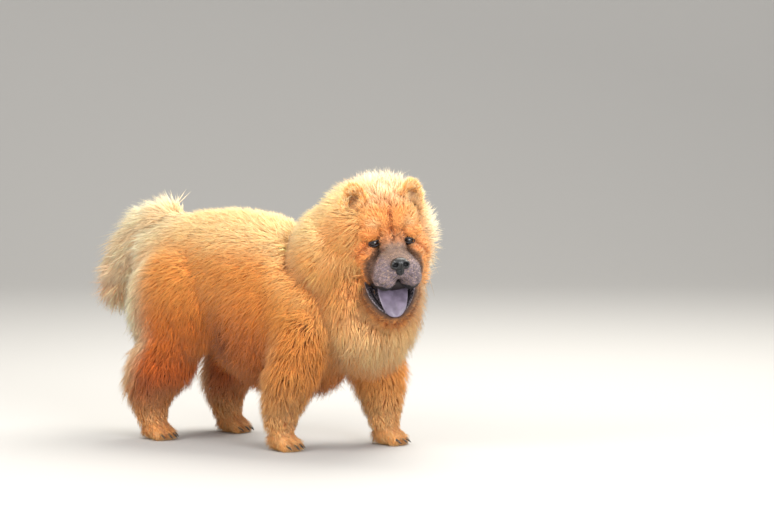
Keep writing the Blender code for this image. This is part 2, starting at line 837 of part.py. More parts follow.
def shank(index, grow=0.0):
    """The lower hind leg, from under the stifle back to the hock and down to the paw."""
    name, _, _, points, _ = HIND_LEGS[index]
    draw = random.Random(SEED + 10 + index)
    core = tube([(p, r - LEG_INSET) for p, r in points], LEG_SIDES)
    pieces = [moulded([core], LIMB_CELL, LIMB_TRIANGLES)]
    for column in range(3):
        angle = math.pi + math.radians(-44 + 44 * column) + draw.uniform(-0.1, 0.1)
        root, normal = leg_root(points, 0.42, angle)
        length = draw.uniform(0.058, 0.068)
        pieces.append(lock(root, normal, Vector((0.0, 0.0, -1.0)), length, 0.044, 0.014))
    return fuse("shank_" + name, pieces, grow)


def paw(name, middle, turn_out):
    """A round cat-like foot with four toes and their claws, flat underneath."""
    place = Matrix.Translation((middle[0], middle[1], 0.0)) @ Matrix.Rotation(turn_out, 4, "Z")
    turn = place.to_3x3().to_4x4()
    size = (PAW_LENGTH * 0.43, PAW_WIDTH * 0.47, 0.032)
    forms = [egg(place @ Vector((-0.006, 0, 0.026)), size, turn, 20, 12)]
    claws = []
    for out in (-0.0245, -0.0085, 0.0085, 0.0245):
        ahead = 0.026 if abs(out) < 0.015 else 0.017
        forms.append(egg(place @ Vector((ahead, out, 0.014)), (0.017, 0.0105, 0.019), turn, 14, 10))
        points = [
            (place @ Vector((ahead + 0.008, out, 0.0145)), 0.0032),
            (place @ Vector((ahead + 0.018, out, 0.0115)), 0.0026),
            (place @ Vector((ahead + 0.0225, out, 0.0070)), 0.0012),
        ]
        claws.append(tube(points, 3))
    made = fuse(name, [moulded(forms, 0.0028, PAW_TRIANGLES)] + claws)
    return cut(made, floor_block())


def floor_block():
    """The space under the floor, which gives every sole its flat."""
    bm = bmesh.new()
    bmesh.ops.create_cube(bm, size=1.0)
    bm.transform(Matrix.Translation((0, 0, -0.1)) @ Matrix.Diagonal((2.0, 2.0, 0.2, 1.0)))
    return new_object("piece", bm)


def build():
    clear_scene()
    coat = material("coat", (0.62, 0.27, 0.09), 0.9)
    pale_coat = material("pale_coat", (0.80, 0.55, 0.30), 0.9)
    tongue_skin = material("tongue_skin", (0.24, 0.20, 0.32), 0.45)
    nose_skin = material("nose_skin", (0.03, 0.03, 0.035), 0.4)
    eye_glass = material("eye_glass", (0.03, 0.015, 0.01), 0.1)
    made = [(torso(), coat), (cut(head(), torso(GAP)), coat), (cut(jaw(), head(GAP)), coat)]
    made += [(cut(tongue(), jaw(GAP), head(GAP)), tongue_skin), (nose(), nose_skin)]
    for side in (1, -1):
        made += [(eyeball(side), eye_glass), (cut(ear(side), head(GAP)), coat)]
    ruff = cut(neck(), head(GAP), ear(1, GAP), ear(-1, GAP), jaw(GAP, False), tongue(GAP))
    made.append((cut(ruff, torso(GAP)), coat))
    bib = cut(chest(), torso(GAP), neck(GAP), head(GAP), jaw(GAP, False), tongue(GAP))
    made.append((bib, pale_coat))
    made.append((tail(), pale_coat))
    for index in (0, 1):
        name, side, _, middle = FORE_LEGS[index]
        made.append((cut(foreleg(index), torso(GAP), chest(GAP), neck(GAP)), coat))
        made.append((cut(paw("forepaw_" + name, middle, side * 0.10), foreleg(index, GAP)), coat))
        name, side, _, _, middle = HIND_LEGS[index]
        made.append((cut(thigh(index), torso(GAP)), coat))
        made.append((cut(shank(index), thigh(index, GAP), torso(GAP)), coat))
        made.append((cut(paw("hindpaw_" + name, middle, side * 0.08), shank(index, GAP)), coat))
    for obj, look in made:
        obj.data.materials.clear()
        obj.data.materials.append(look)
        obj.data.transform(Matrix.Translation(PLACE))


build()
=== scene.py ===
"""Looks of a still, life-size chow chow: its skin, coat, eyes, nose, mouth and claws.

The dog's own frame has +X ahead, +Y to its left and +Z up from the soles. PLACE carries it to
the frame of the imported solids.
"""

import json
import math

import bmesh
import bpy
import numpy as np
from bpy.props import FloatProperty, FloatVectorProperty, IntProperty, PointerProperty
from mathutils import Matrix, Vector, kdtree

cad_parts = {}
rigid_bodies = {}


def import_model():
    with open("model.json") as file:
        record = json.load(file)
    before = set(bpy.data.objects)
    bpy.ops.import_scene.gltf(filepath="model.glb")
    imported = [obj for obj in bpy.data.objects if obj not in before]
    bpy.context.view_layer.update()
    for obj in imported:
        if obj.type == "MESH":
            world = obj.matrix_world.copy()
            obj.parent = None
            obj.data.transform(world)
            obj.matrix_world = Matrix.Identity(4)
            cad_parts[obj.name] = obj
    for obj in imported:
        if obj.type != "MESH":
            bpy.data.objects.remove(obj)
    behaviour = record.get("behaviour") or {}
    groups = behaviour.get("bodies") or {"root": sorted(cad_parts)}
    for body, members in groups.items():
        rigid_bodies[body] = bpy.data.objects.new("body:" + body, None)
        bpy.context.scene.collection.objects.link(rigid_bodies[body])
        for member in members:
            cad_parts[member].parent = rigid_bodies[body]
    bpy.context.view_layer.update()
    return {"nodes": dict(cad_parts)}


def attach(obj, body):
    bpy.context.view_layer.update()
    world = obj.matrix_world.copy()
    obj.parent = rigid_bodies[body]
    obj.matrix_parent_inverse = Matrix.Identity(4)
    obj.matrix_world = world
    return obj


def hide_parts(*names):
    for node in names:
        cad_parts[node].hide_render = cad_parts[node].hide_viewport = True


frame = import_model()

bl_info = {
    "name": "Chow Chow Model",
    "version": (1, 0, 0),
    "blender": (4, 5, 0),
    "location": "View3D > Sidebar > Chow Chow",
    "description": "Builds the skin, coat and features of a life-size chow chow",
    "category": "Add Mesh",
}

PLACE = Vector((0.0128, 0.0013, 0.0))

# How deep the skin lies under the tips of the coat
TRUNK_DEPTH = 0.032
MANE_DEPTH = 0.038
BIB_DEPTH = 0.046
TAIL_DEPTH = 0.038
THIGH_DEPTH = 0.026

# Trunk, to the tips of its coat. Each ring: x, half width, top, bottom
TRUNK_RINGS = (
    (-0.272, 0.092, 0.492, 0.300),
    (-0.212, 0.116, 0.518, 0.262),
    (-0.132, 0.130, 0.532, 0.222),
    (-0.052, 0.148, 0.536, 0.180),
    (0.028, 0.160, 0.526, 0.146),
    (0.100, 0.158, 0.500, 0.134),
    (0.168, 0.146, 0.470, 0.146),
    (0.228, 0.118, 0.430, 0.195),
)

# Neck under the mane, to the tips. Each ring: point on the axis, half width, half depth
NECK_RINGS = (
    ((0.160, 0.000, 0.408), 0.130, 0.112),
    ((0.218, 0.000, 0.436), 0.150, 0.138),
    ((0.248, 0.010, 0.456), 0.118, 0.130),
)
NAPE_CENTRE = Vector((0.262, 0.014, 0.486))
NAPE_RADII = Vector((0.082, 0.086, 0.080))
BIB_CENTRE = Vector((0.277, 0.010, 0.352))
BIB_RADII = Vector((0.120, 0.152, 0.192))

# Head: the point between the eyes, and how far the head is turned, nodded and rolled
EYE_MIDDLE = Vector((0.380, -0.063, 0.4736))
HEAD_TURN = math.radians(-47.0)
HEAD_NOD = math.radians(2.0)
HEAD_ROLL = math.radians(4.0)
EYE_SPREAD = 0.039
EYE_RADIUS = 0.0115
EYE_SET_BACK = 0.010
NOSE_PLACE = Vector((0.076, -0.003, -0.039))
EAR_OUT = {1: 0.055, -1: -0.066}
EAR_HEIGHT = 0.087
EAR_WIDE = 0.0275
EAR_TALL = 0.041
JAW_HINGE = Vector((-0.040, -0.004, -0.066))
JAW_OPEN = math.radians(47.0)
JAW_ASIDE = math.radians(-7.0)
JAW_LENGTH = 0.134

# Half of the lower lip's line in the jaw's frame: ahead and aside
LIP_LINE = (
    (-0.020, 0.032),
    (-0.004, 0.053),
    (0.030, 0.058),
    (0.062, 0.053),
    (0.090, 0.042),
    (0.110, 0.028),
    (0.122, 0.012),
)

# Forms of the head in its frame. Each: area, middle, radii, pitch, and yaw for those at the sides
MIDDLE_FORMS = (
    ("skull", (-0.078, 0.0, 0.032), (0.073, 0.074, 0.070), 0.0),
    ("skull", (-0.122, 0.0, -0.004), (0.070, 0.088, 0.090), 0.0),
    ("muzzle", (0.027, 0.0, -0.045), (0.054, 0.043, 0.031), 0.13),
    ("muzzle", (-0.020, 0.0, -0.060), (0.058, 0.048, 0.032), 0.0),
)
SIDE_FORMS = (
    ("skull", (-0.048, 0.050, -0.028), (0.044, 0.038, 0.046), 0.0, 0.0),
    ("skull", (-0.054, 0.050, -0.070), (0.036, 0.031, 0.038), 0.0, 0.0),
    ("skull", (-0.025, 0.022, 0.042), (0.029, 0.036, 0.041), 0.0, 0.0),
    ("skull", (-0.012, 0.041, 0.021), (0.019, 0.028, 0.013), 0.0, 0.3),
    ("skull", (0.000, 0.012, 0.006), (0.014, 0.014, 0.022), 0.0, 0.0),
    ("skull", (-0.011, 0.045, -0.024), (0.018, 0.026, 0.013), 0.0, 0.3),
    ("muzzle", (0.010, 0.010, -0.014), (0.026, 0.018, 0.020), 0.5, 0.0),
    ("skull", (-0.016, 0.044, -0.056), (0.036, 0.025, 0.034), 0.0, 0.0),
    ("muzzle", (0.024, 0.0285, -0.066), (0.048, 0.0265, 0.036), 0.16, 0.0),
    ("muzzle", (0.050, 0.018, -0.056), (0.0265, 0.0215, 0.0235), 0.0, 0.0),
)

# Grooves of the face: points aside and up, depth and width. FOLDS are on both sides
FURROW = (((0.000, 0.078), (0.001, 0.055), (0.000, 0.020), (0.000, 0.008)), 0.0030, 0.0035)
FOLDS = (
    (((0.026, 0.036), (0.024, 0.020), (0.020, 0.008)), 0.0030, 0.0030),
    (((0.052, -0.006), (0.066, -0.018), (0.080, -0.038)), 0.0036, 0.0040),
    (((0.020, -0.010), (0.030, -0.018), (0.046, -0.022)), 0.0020, 0.0030),
    (((0.030, -0.016), (0.042, -0.036), (0.052, -0.066)), 0.0034, 0.0045),
)

# Tail, from the croup up, back and down. Each ring: point, and the coat's reach round it
TAIL_RINGS = (
    ((-0.210, 0.000, 0.474), 0.060),
    ((-0.256, 0.002, 0.490), 0.054),
    ((-0.304, 0.006, 0.472), 0.056),
    ((-0.350, 0.010, 0.432), 0.054),
    ((-0.384, 0.014, 0.388), 0.052),
    ((-0.400, 0.018, 0.350), 0.046),
)

# Legs by side, 1 left and -1 right: points down the leg, each with its coat radius
FORE_LEGS = {
    1: (
        ((0.208, 0.094, 0.300), 0.058),
        ((0.224, 0.102, 0.235), 0.060),
        ((0.252, 0.104, 0.160), 0.056),
        ((0.264, 0.101, 0.095), 0.046),
        ((0.268, 0.100, 0.048), 0.041),
    ),
    -1: (
        ((0.178, -0.094, 0.300), 0.058),
        ((0.168, -0.104, 0.235), 0.059),
        ((0.144, -0.106, 0.160), 0.052),
        ((0.122, -0.101, 0.095), 0.044),
        ((0.112, -0.100, 0.048), 0.040),
    ),
}
HIND_LEGS = {
    1: (
        ((-0.100, 0.092, 0.295), 0.058),
        ((-0.104, 0.096, 0.230), 0.064),
        ((-0.126, 0.096, 0.178), 0.068),
        ((-0.154, 0.094, 0.125), 0.057),
        ((-0.156, 0.092, 0.080), 0.045),
        ((-0.150, 0.091, 0.046), 0.040),
    ),
    -1: (
        ((-0.162, -0.090, 0.295), 0.058),
        ((-0.176, -0.096, 0.230), 0.066),
        ((-0.204, -0.098, 0.178), 0.072),
        ((-0.236, -0.096, 0.125), 0.061),
        ((-0.240, -0.094, 0.080), 0.046),
        ((-0.236, -0.093, 0.046), 0.040),
    ),
}
THIGHS = {
    1: (Vector((-0.138, 0.092, 0.320)), Vector((0.116, 0.072, 0.142))),
    -1: (Vector((-0.166, -0.094, 0.315)), Vector((0.124, 0.074, 0.146))),
}

# Paws: the middle of each on the floor, and how far it turns out. Toes: ahead and aside of it
PAWS = (
    ((0.280, 0.100), 0.10),
    ((0.124, -0.100), -0.10),
    ((-0.136, 0.091), 0.08),
    ((-0.222, -0.093), -0.08),
)
PAW_TOES = ((0.017, -0.0245), (0.026, -0.0085), (0.026, 0.0085), (0.017, 0.0245))

# How the forms melt into one skin: the size of its faces, the smoothing, and how wide coats mix
BODY_CELL, BODY_PASSES, BODY_BLEND = 0.0066, 7, 0.032
HEAD_CELL, HEAD_PASSES, HEAD_BLEND = 0.0023, 3, 0.009
CALM_PASSES = 34
CALM_ABOVE = 0.19
CALM_AHEAD = -0.24
SOLE_DEPTH = 0.0008

# A tuft: how far its root sinks in, where it bends, its flatness, taper and waywardness, and
# the size of its patch on the unwrap
ROOT_SINK = 0.003
BEND_UP, BEND_ALONG = 0.80, 0.28
BLADE_DEPTH = 0.60
TAPER = 0.62
STRAY = 0.20
MOST_DYE = 2.3
PATCH = 0.003

# The photo's view
VIEW_TURN = math.radians(30.0)
VIEW_HEIGHT = math.radians(4.5)
LOOK_AT = Vector((0.387, -0.097, 0.441))
LENS = 36.0 * 2760.0 / 774.0

# What the skin's step leaves for the steps of the coat
STATE = {}


def settings():
    return bpy.context.scene.chow_chow


def linear(colour):
    """A colour given as 0 to 255 on screen, as the light values that shaders and meshes hold."""
    c = np.asarray(colour, float) / 255.0
    return np.where(c <= 0.04045, c / 12.92, ((c + 0.055) / 1.055) ** 2.4)


def ease(x, low, high):
    """0 below low, 1 above high, and a smooth rise between them."""
    t = np.clip((x - low) / (high - low), 0.0, 1.0)
    return t * t * (3.0 - 2.0 * t)


def bell(x, middle, width):
    """1 at middle, falling smoothly to 0 at about twice width on either side."""
    return np.exp(-(((x - middle) / width) ** 2))


def blend(a, b, share):
    """a where share is 0 and b where it is 1, for rows of colours or directions."""
    share = np.asarray(share)[:, None]
    return np.asarray(a) * (1.0 - share) + np.asarray(b) * share


def ways(x, y, z):
    """Directions as rows. Each of x, y and z is one number, or one for each point."""
    return np.stack(np.broadcast_arrays(x, y, z), 1)


def unit(rows):
    return rows / np.maximum(np.linalg.norm(rows, axis=1, keepdims=True), 1e-9)


def ripple(points, scale, seed=0.0):
    """Smooth noise from -1 to 1 at points, with a wave length of about scale."""
    p = points / scale
    total = np.sin(p[:, 0] * 5.1 + 2.3 * np.sin(p[:, 1] * 3.7 + seed) + seed)
    total += np.sin(p[:, 1] * 4.3 + 2.1 * np.sin(p[:, 2] * 4.9 + seed * 1.7))
    total += np.sin(p[:, 2] * 5.9 + 1.9 * np.sin(p[:, 0] * 4.1 + seed * 2.3))
    return total / 3.0


# Frames of the head and the open jaw


def head_matrix():
    turn = Matrix.Rotation(HEAD_TURN, 4, "Z")
    nod = Matrix.Rotation(HEAD_NOD, 4, "Y")
    roll = Matrix.Rotation(HEAD_ROLL, 4, "X")
    return Matrix.Translation(EYE_MIDDLE) @ turn @ nod @ roll


def jaw_matrix():
    swing = Matrix.Rotation(JAW_ASIDE, 4, "Z") @ Matrix.Rotation(JAW_OPEN, 4, "Y")
    return head_matrix() @ Matrix.Translation(JAW_HINGE) @ swing


def paw_matrices():
    return [Matrix.Translation((*p, 0.0)) @ Matrix.Rotation(turn, 4, "Z") for p, turn in PAWS]


def to_frame(matrix, points):
    """Points of the dog's frame as rows in the frame that matrix stands for."""
    back = np.array(matrix.inverted())
    return points @ back[:3, :3].T + back[:3, 3]


def from_frame(matrix, rows):
    """Rows of points in the frame that matrix stands for, as points of the dog's frame."""
    whole = np.array(matrix)
    return rows @ whole[:3, :3].T + whole[:3, 3]


def ways_out(matrix, rows):
    """Directions given in the frame that matrix stands for, as rows in the dog's frame."""
    return rows @ np.array(matrix)[:3, :3].T


# Making meshes


def add_egg(bm, matrix, place, radii, turn=None, sides=24, rows=16):
    """A closed egg at place in the frame of matrix."""
    size = Matrix.Diagonal((*radii, 1.0))
    whole = matrix @ Matrix.Translation(place) @ (turn or Matrix.Identity(4)) @ size
    bmesh.ops.create_uvsphere(bm, u_segments=sides, v_segments=rows, radius=1.0, matrix=whole)


def add_limb(bm, stations, sides=20):
    """A closed limb through stations: each a centre and its two half widths as vectors."""
    loops = []
    for centre, across, up in stations:
        made = bmesh.ops.create_circle(bm, cap_ends=False, segments=sides, radius=1.0)
        turn = Matrix((across, up, across.cross(up))).transposed().to_4x4()
        bmesh.ops.transform(bm, verts=made["verts"], matrix=Matrix.Translation(centre) @ turn)
        loops.append(list(dict.fromkeys(e for v in made["verts"] for e in v.link_edges)))
    for loop in (loops[0], loops[-1]):
        bmesh.ops.edgeloop_fill(bm, edges=loop)
    for low, high in zip(loops, loops[1:]):
        bmesh.ops.bridge_loops(bm, edges=low + high)


def round_stations(points):
    """Stations of a round limb through points, each with its radius."""
    places = [Vector(p) for p, _ in points]
    made = []
    for k, (_, radius) in enumerate(points):
        along = (places[min(k + 1, len(places) - 1)] - places[max(k - 1, 0)]).normalized()
        aside = Vector((1, 0, 0)) if abs(along.x) < 0.7 else Vector((0, 0, 1))
        across = along.cross(aside).normalized()
        up = across.cross(along).normalized()
        made.append((places[k], across * radius, up * radius))
    return made


def add_tube(bm, points, sides):
    add_limb(bm, round_stations(points), sides)


def pour(bm, whole):
    """Moves all of one bmesh into another."""
    part = bpy.data.meshes.new("part")
    bm.to_mesh(part)
    bm.free()
    whole.from_mesh(part)
    bpy.data.meshes.remove(part)


def place_object(name, data):
    made = bpy.data.objects.new(name, data)
    bpy.context.scene.collection.objects.link(made)
    return made


def new_piece(name, bm):
    """Takes the bmesh into a new object, with its faces out, in the dog's frame."""
    bmesh.ops.recalc_face_normals(bm, faces=bm.faces)
    if bm.calc_volume(signed=True) < 0:
        bmesh.ops.reverse_faces(bm, faces=bm.faces)
    mesh = bpy.data.meshes.new(name)
    bm.to_mesh(mesh)
    bm.free()
    mesh.shade_smooth()
    return place_object(name, mesh)


def take_result(obj):
    """Applies the object's modifiers to its mesh."""
    graph = bpy.context.evaluated_depsgraph_get()
    made = bpy.data.meshes.new_from_object(obj.evaluated_get(graph))
    obj.modifiers.clear()
    obj.data = made


def melt(obj, cell, passes):
    """Melts overlapping closed forms into one smooth skin of square faces about cell across."""
    skin = obj.modifiers.new("skin", "REMESH")
    skin.mode = "VOXEL"
    skin.voxel_size = cell
    skin.use_smooth_shade = True
    soften = obj.modifiers.new("soften", "SMOOTH")
    soften.factor = 0.5
    soften.iterations = passes
    take_result(obj)


def read(items, name, width, kind=np.float32):
    """One row of numbers for each of a mesh's items."""
    flat = np.empty(len(items) * width, kind)
    items.foreach_get(name, flat)
    return flat.reshape(-1, width)


def points_of(mesh):
    return read(mesh.vertices, "co", 3).astype(float)


def normals_of(mesh):
    return read(mesh.vertex_normals, "vector", 3).astype(float)


def set_points(mesh, points):
    mesh.vertices.foreach_set("co", points.astype(np.float32).ravel())
    mesh.update()


def paint(mesh, name, colours):
    """Stores one colour per vertex as light values."""
    layer = mesh.color_attributes.new(name, "FLOAT_COLOR", "POINT")
    rows = np.ones((len(colours), 4), np.float32)
    rows[:, :3] = colours
    layer.data.foreach_set("color", rows.ravel())


def finish_piece(obj, slot, *materials):
    """Moves the piece to its place in the solids' frame and hangs it on the model's one body."""
    obj.data.transform(Matrix.Translation(PLACE))
    obj.data.materials.clear()
    for look in materials:
        obj.data.materials.append(look)
    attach(obj, "root")
    return obj


# Forms under the skin


def body_forms():
    """Closed forms of the body by area, in the dog's frame."""
    forms = {}
    bm = forms["trunk"] = bmesh.new()
    stations = []
    for x, half, top, bottom in TRUNK_RINGS:
        tall = (top - bottom) / 2 - TRUNK_DEPTH
        centre = Vector((x, 0, (top + bottom) / 2))
        stations.append((centre, Vector((0, half - TRUNK_DEPTH, 0)), Vector((0, 0, tall))))
    add_limb(bm, stations, 24)
    bm = forms["mane"] = bmesh.new()
    stations = []
    places = [Vector(p) for p, _, _ in NECK_RINGS]
    for k, (_, wide, deep) in enumerate(NECK_RINGS):
        along = (places[min(k + 1, 2)] - places[max(k - 1, 0)]).normalized()
        across = Vector((0, 0, 1)).cross(along).normalized()
        up = along.cross(across).normalized()
        stations.append((places[k], across * (wide - MANE_DEPTH), up * (deep - MANE_DEPTH)))
    add_limb(bm, stations, 24)
    add_egg(bm, Matrix.Identity(4), NAPE_CENTRE, NAPE_RADII)
    bm = forms["bib"] = bmesh.new()
    depth = Vector((BIB_DEPTH, BIB_DEPTH, BIB_DEPTH))
    add_egg(bm, Matrix.Identity(4), BIB_CENTRE, BIB_RADII - depth)
    bm = forms["tail"] = bmesh.new()
    add_tube(bm, [(p, max(r - TAIL_DEPTH, 0.012)) for p, r in TAIL_RINGS], 16)
    bm = forms["thigh"] = bmesh.new()
    for centre, radii in THIGHS.values():
        depth = Vector((THIGH_DEPTH, THIGH_DEPTH, THIGH_DEPTH))
        egg = radii - depth
        add_egg(bm, Matrix.Identity(4), centre, Vector((egg.x, egg.y, egg.z * 0.93)))
    for area, legs in (("foreleg", FORE_LEGS), ("shank", HIND_LEGS)):
        bm = forms[area] = bmesh.new()
        for points in legs.values():
            add_tube(bm, [(p, r * 0.82 - 0.004) for p, r in points], 18)
    bm = forms["paw"] = bmesh.new()
    for place in paw_matrices():
        add_egg(bm, place, (-0.007, 0, 0.024), (0.033, 0.029, 0.028))
        for ahead, out in PAW_TOES:
            add_egg(bm, place, (ahead, out, 0.0125), (0.0150, 0.0088, 0.0155), None, 16, 12)
    return forms


def head_forms():
    """Closed forms of the head by area, in the dog's frame."""
    head, jaw = head_matrix(), jaw_matrix()
    forms = {area: bmesh.new() for area in ("skull", "muzzle", "jaw", "ear")}

    def egg(area, place, radii, pitch, yaw=0.0):
        turn = Matrix.Rotation(yaw, 4, "Z") @ Matrix.Rotation(pitch, 4, "Y")
        add_egg(forms[area], head, place, radii, turn)

    for form in MIDDLE_FORMS:
        egg(*form)
    for side in (1, -1):
        for area, (ahead, aside, up), radii, pitch, yaw in SIDE_FORMS:
            egg(area, (ahead, side * aside, up), radii, pitch, -side * yaw)
    half = [(x - 0.002, y - 0.004) for x, y in LIP_LINE]
    rim = [(x, y) for x, y in half] + [(x, -y) for x, y in reversed(half)]
    add_tube(forms["jaw"], [(jaw @ Vector((x, y, -0.014)), 0.0135) for x, y in rim], 14)
    add_egg(forms["jaw"], jaw, (JAW_LENGTH * 0.50, 0, -0.032), (JAW_LENGTH * 0.46, 0.042, 0.022))
    return forms


def ear_form(side):
    """A small rounded ear: a thick leaf whose rim curls forward round its cup."""
    bm = bmesh.new()
    add_egg(bm, Matrix.Identity(4), (0, 0, 0), (0.0060, EAR_WIDE, EAR_TALL), None, 32, 24)
    for v in bm.verts:
        rim = (v.co.y / EAR_WIDE) ** 2 + (max(v.co.z, -0.02) / EAR_TALL) ** 2
        v.co.x += 0.013 * rim - 0.004
        v.co.y *= 1.0 - 0.22 * v.co.z / EAR_TALL
    turn = Matrix.Rotation(side * 0.40, 4, "Z") @ Matrix.Rotation(side * 0.16, 4, "X")
    place = Matrix.Translation((-0.050, EAR_OUT[side], EAR_HEIGHT))
    bm.transform(head_matrix() @ place @ turn @ Matrix.Rotation(0.16, 4, "Y"))
    return bm


def melt_forms(name, forms, cell, passes):
    """One skin round all forms, and for each area a tree of its forms' own points."""
    whole = bmesh.new()
    trees = {}
    for area, bm in forms.items():
        bmesh.ops.subdivide_edges(bm, edges=bm.edges, cuts=1, use_grid_fill=True)
        tree = kdtree.KDTree(len(bm.verts))
        for k, v in enumerate(bm.verts):
            tree.insert(v.co, k)
        tree.balance()
        trees[area] = tree
        pour(bm, whole)
    made = new_piece(name, whole)
    melt(made, cell, passes)
    return made, trees


def area_shares(points, trees, reach):
    """How much each area has of each point: one row a point, one column an area."""
    shares = np.zeros((len(points), len(AREAS)))
    for area, tree in trees.items():
        shares[:, AREAS.index(area)] = [tree.find(p)[2] for p in points]
    used = [AREAS.index(area) for area in trees]
    near = shares[:, used].min(axis=1, keepdims=True)
    shares[:, used] = bell(shares[:, used], near, reach)
    return shares / shares.sum(axis=1, keepdims=True)


def shape_face(mesh):
    """Presses the furrow, the folds and the eye slits of the face into the head's skin."""
    points = points_of(mesh)
    normals = normals_of(mesh)
    head = head_matrix()
    h = to_frame(head, points)
    out = to_frame(Matrix(head.to_3x3().to_4x4()), normals)
    f, l, u = h[:, 0], h[:, 1], h[:, 2]
    push = np.zeros(len(points))
    front = ease(out[:, 0], -0.1, 0.3)

    def groove(curve, depth, width):
        """Presses a groove of that depth along a curve of (left, up) points."""
        nearest = np.full(len(points), 9.0)
        for (a0, b0), (a1, b1) in zip(curve, curve[1:]):
            run = np.array((a1 - a0, b1 - b0))
            t = ((l - a0) * run[0] + (u - b0) * run[1]) / (run @ run)
            t = np.clip(t, 0, 1)
            d = np.hypot(l - a0 - run[0] * t, u - b0 - run[1] * t)
            nearest = np.minimum(nearest, d)
        push[:] -= depth * bell(nearest, 0.0, width) * front

    groove(*FURROW)
    for side in (1, -1):
        for curve, depth, width in FOLDS:
            groove([(side * a, b) for a, b in curve], depth, width)
    points = points + normals * push[:, None]
    h = to_frame(head, points)
    f, l, u = h[:, 0], h[:, 1], h[:, 2]
    for side in (1, -1):
        away = ((l - side * EYE_SPREAD) / (EYE_RADIUS * 1.12)) ** 2
        away += ((u + 0.0006 + 0.18 * side * (l - side * EYE_SPREAD)) / 0.0062) ** 2
        inside = (away < 1.0) & (f > -0.030)
        h[inside, 0] = -0.014
    set_points(mesh, from_frame(head, h))


# The lie, length and colour of the coat at every point of the skin


RED = linear((211, 98, 26))
DEEP = linear((164, 70, 24))
DARK = linear((98, 42, 16))
ORANGE = linear((240, 146, 58))
GOLD = linear((248, 182, 96))
FAWN = linear((250, 206, 138))
CREAM = linear((255, 231, 176))
PALE = linear((255, 245, 214))
SLATE = linear((132, 116, 132))
INK = linear((18, 13, 17))
UMBER = linear((104, 64, 40))
ROSE = linear((214, 176, 150))


def body_colours(p, n, lie, length):
    """Root and tip colours of the body: red deepening low down, partly the coat's own and partly
    painted shade; cream on top and behind as painted rim light, behind partly paler breeches too;
    gold under the belly as painted light; painted shade in the folds.
    """
    x, y, z = (p + unit(lie) * length[:, None] * 0.5).T
    # high: redder and deeper lower down, partly the coat's own colour and partly painted shade
    # under the body.
    high = ease(z, 0.00, 0.46)
    # top: gold roots and cream tips on faces turned up high on the back, a painted rim light.
    top = ease(n[:, 2], 0.05, 0.90) * ease(z, 0.38, 0.46)
    # rear: cream behind the rump, partly the paler breeches and partly a painted rim light.
    rear = ease(-n[:, 0], 0.00, 0.65) * ease(-x, 0.11, 0.25) * ease(z, 0.10, 0.28)
    root = blend(blend(DEEP, RED, high), ORANGE, ease(x, 0.04, 0.16) * 0.6)
    tip = blend(blend(DEEP, RED, 0.3 + 0.7 * ease(high, 0.0, 0.4)), ORANGE, ease(high, 0.08, 0.80))
    tip = blend(tip, GOLD, ease(high, 0.60, 1.0) * 0.7)
    tip = blend(tip, GOLD, ease(x, 0.06, 0.18) * ease(z, 0.14, 0.30) * 0.75)
    root = blend(root, GOLD, top * 0.8)
    tip = blend(tip, CREAM, top * 0.85)
    root = blend(root, CREAM, rear * 0.9)
    tip = blend(tip, PALE, rear)
    # Gold tips on faces turned down: painted light lifting the shade under the belly.
    tip = blend(tip, GOLD, ease(-n[:, 2], 0.2, 0.8) * 0.35)
    # Painted shade: darker tips in the crease between flank and thigh, and in the fold where the
    # mane meets the shoulder.
    crease_shade = bell(x, -0.030, 0.016) * ease(-z, -0.34, -0.22) * ease(np.abs(y), 0.06, 0.10)
    neck = bell(x, 0.165, 0.018) * ease(-z, -0.50, -0.40) * 0.45
    mottle = ease(ripple(p, 0.030, 2.0), 0.1, 0.8) * 0.26 * (1 - high)
    # The tips darken towards DARK by the painted shade of the folds and by the random mottle.
    return root, blend(tip, DARK, np.clip(0.70 * crease_shade + neck * 0.35 + mottle, 0, 0.85))


def tail_way(points):
    """The way the tail runs beside each point."""
    places = np.array([p for p, _ in TAIL_RINGS])
    runs = unit(np.gradient(places, axis=0))
    far = np.linalg.norm(points[:, None, :] - places[None], axis=2)
    near = bell(far, 0.0, 0.04) + 1e-9
    return unit((near[:, :, None] * runs[None]).sum(axis=1))


# Each of these gives lie, length, rise, root colour and tip colour at points p with normals n


def comb_trunk(p, n):
    """Coat of the trunk: back and down along the flanks, longer under the belly."""
    under = ease(-n[:, 2], 0.25, 0.80)
    down = np.clip(0.55 - 0.6 * n[:, 2], 0, 1)
    lie = ways(-0.9 + 0.6 * down, 0.35 * np.sign(p[:, 1]) * (1 - down), -0.10 - 1.2 * down)
    length = 0.050 + 0.010 * down + 0.022 * under
    rise = 0.037 - 0.004 * down + 0.026 * under
    root, tip = body_colours(p, n, lie, length)
    return lie, length, rise, root, tip


def comb_mane(p, n):
    """Coat of the neck, which fans out round the head."""
    away = p - np.array(head_matrix() @ Vector((0.010, 0.0, 0.010)))
    lie = unit(away) + np.array((-0.35, 0.0, -0.50))
    front = ease(p[:, 0], 0.20, 0.29)
    length = 0.056 + 0.018 * front
    rise = 0.031 + 0.015 * front - 0.013 * ease(-p[:, 0], -0.20, -0.14)
    # top: gold roots and cream tips on faces turned up, a painted rim light.
    top = ease(n[:, 2], 0.0, 0.8)
    root = blend(RED, GOLD, top)
    tip = blend(GOLD, FAWN, ease(ripple(p, 0.05, 1.0), -0.6, 0.8))
    tip = blend(tip, CREAM, top * 0.85)
    return lie, length, rise, root, tip


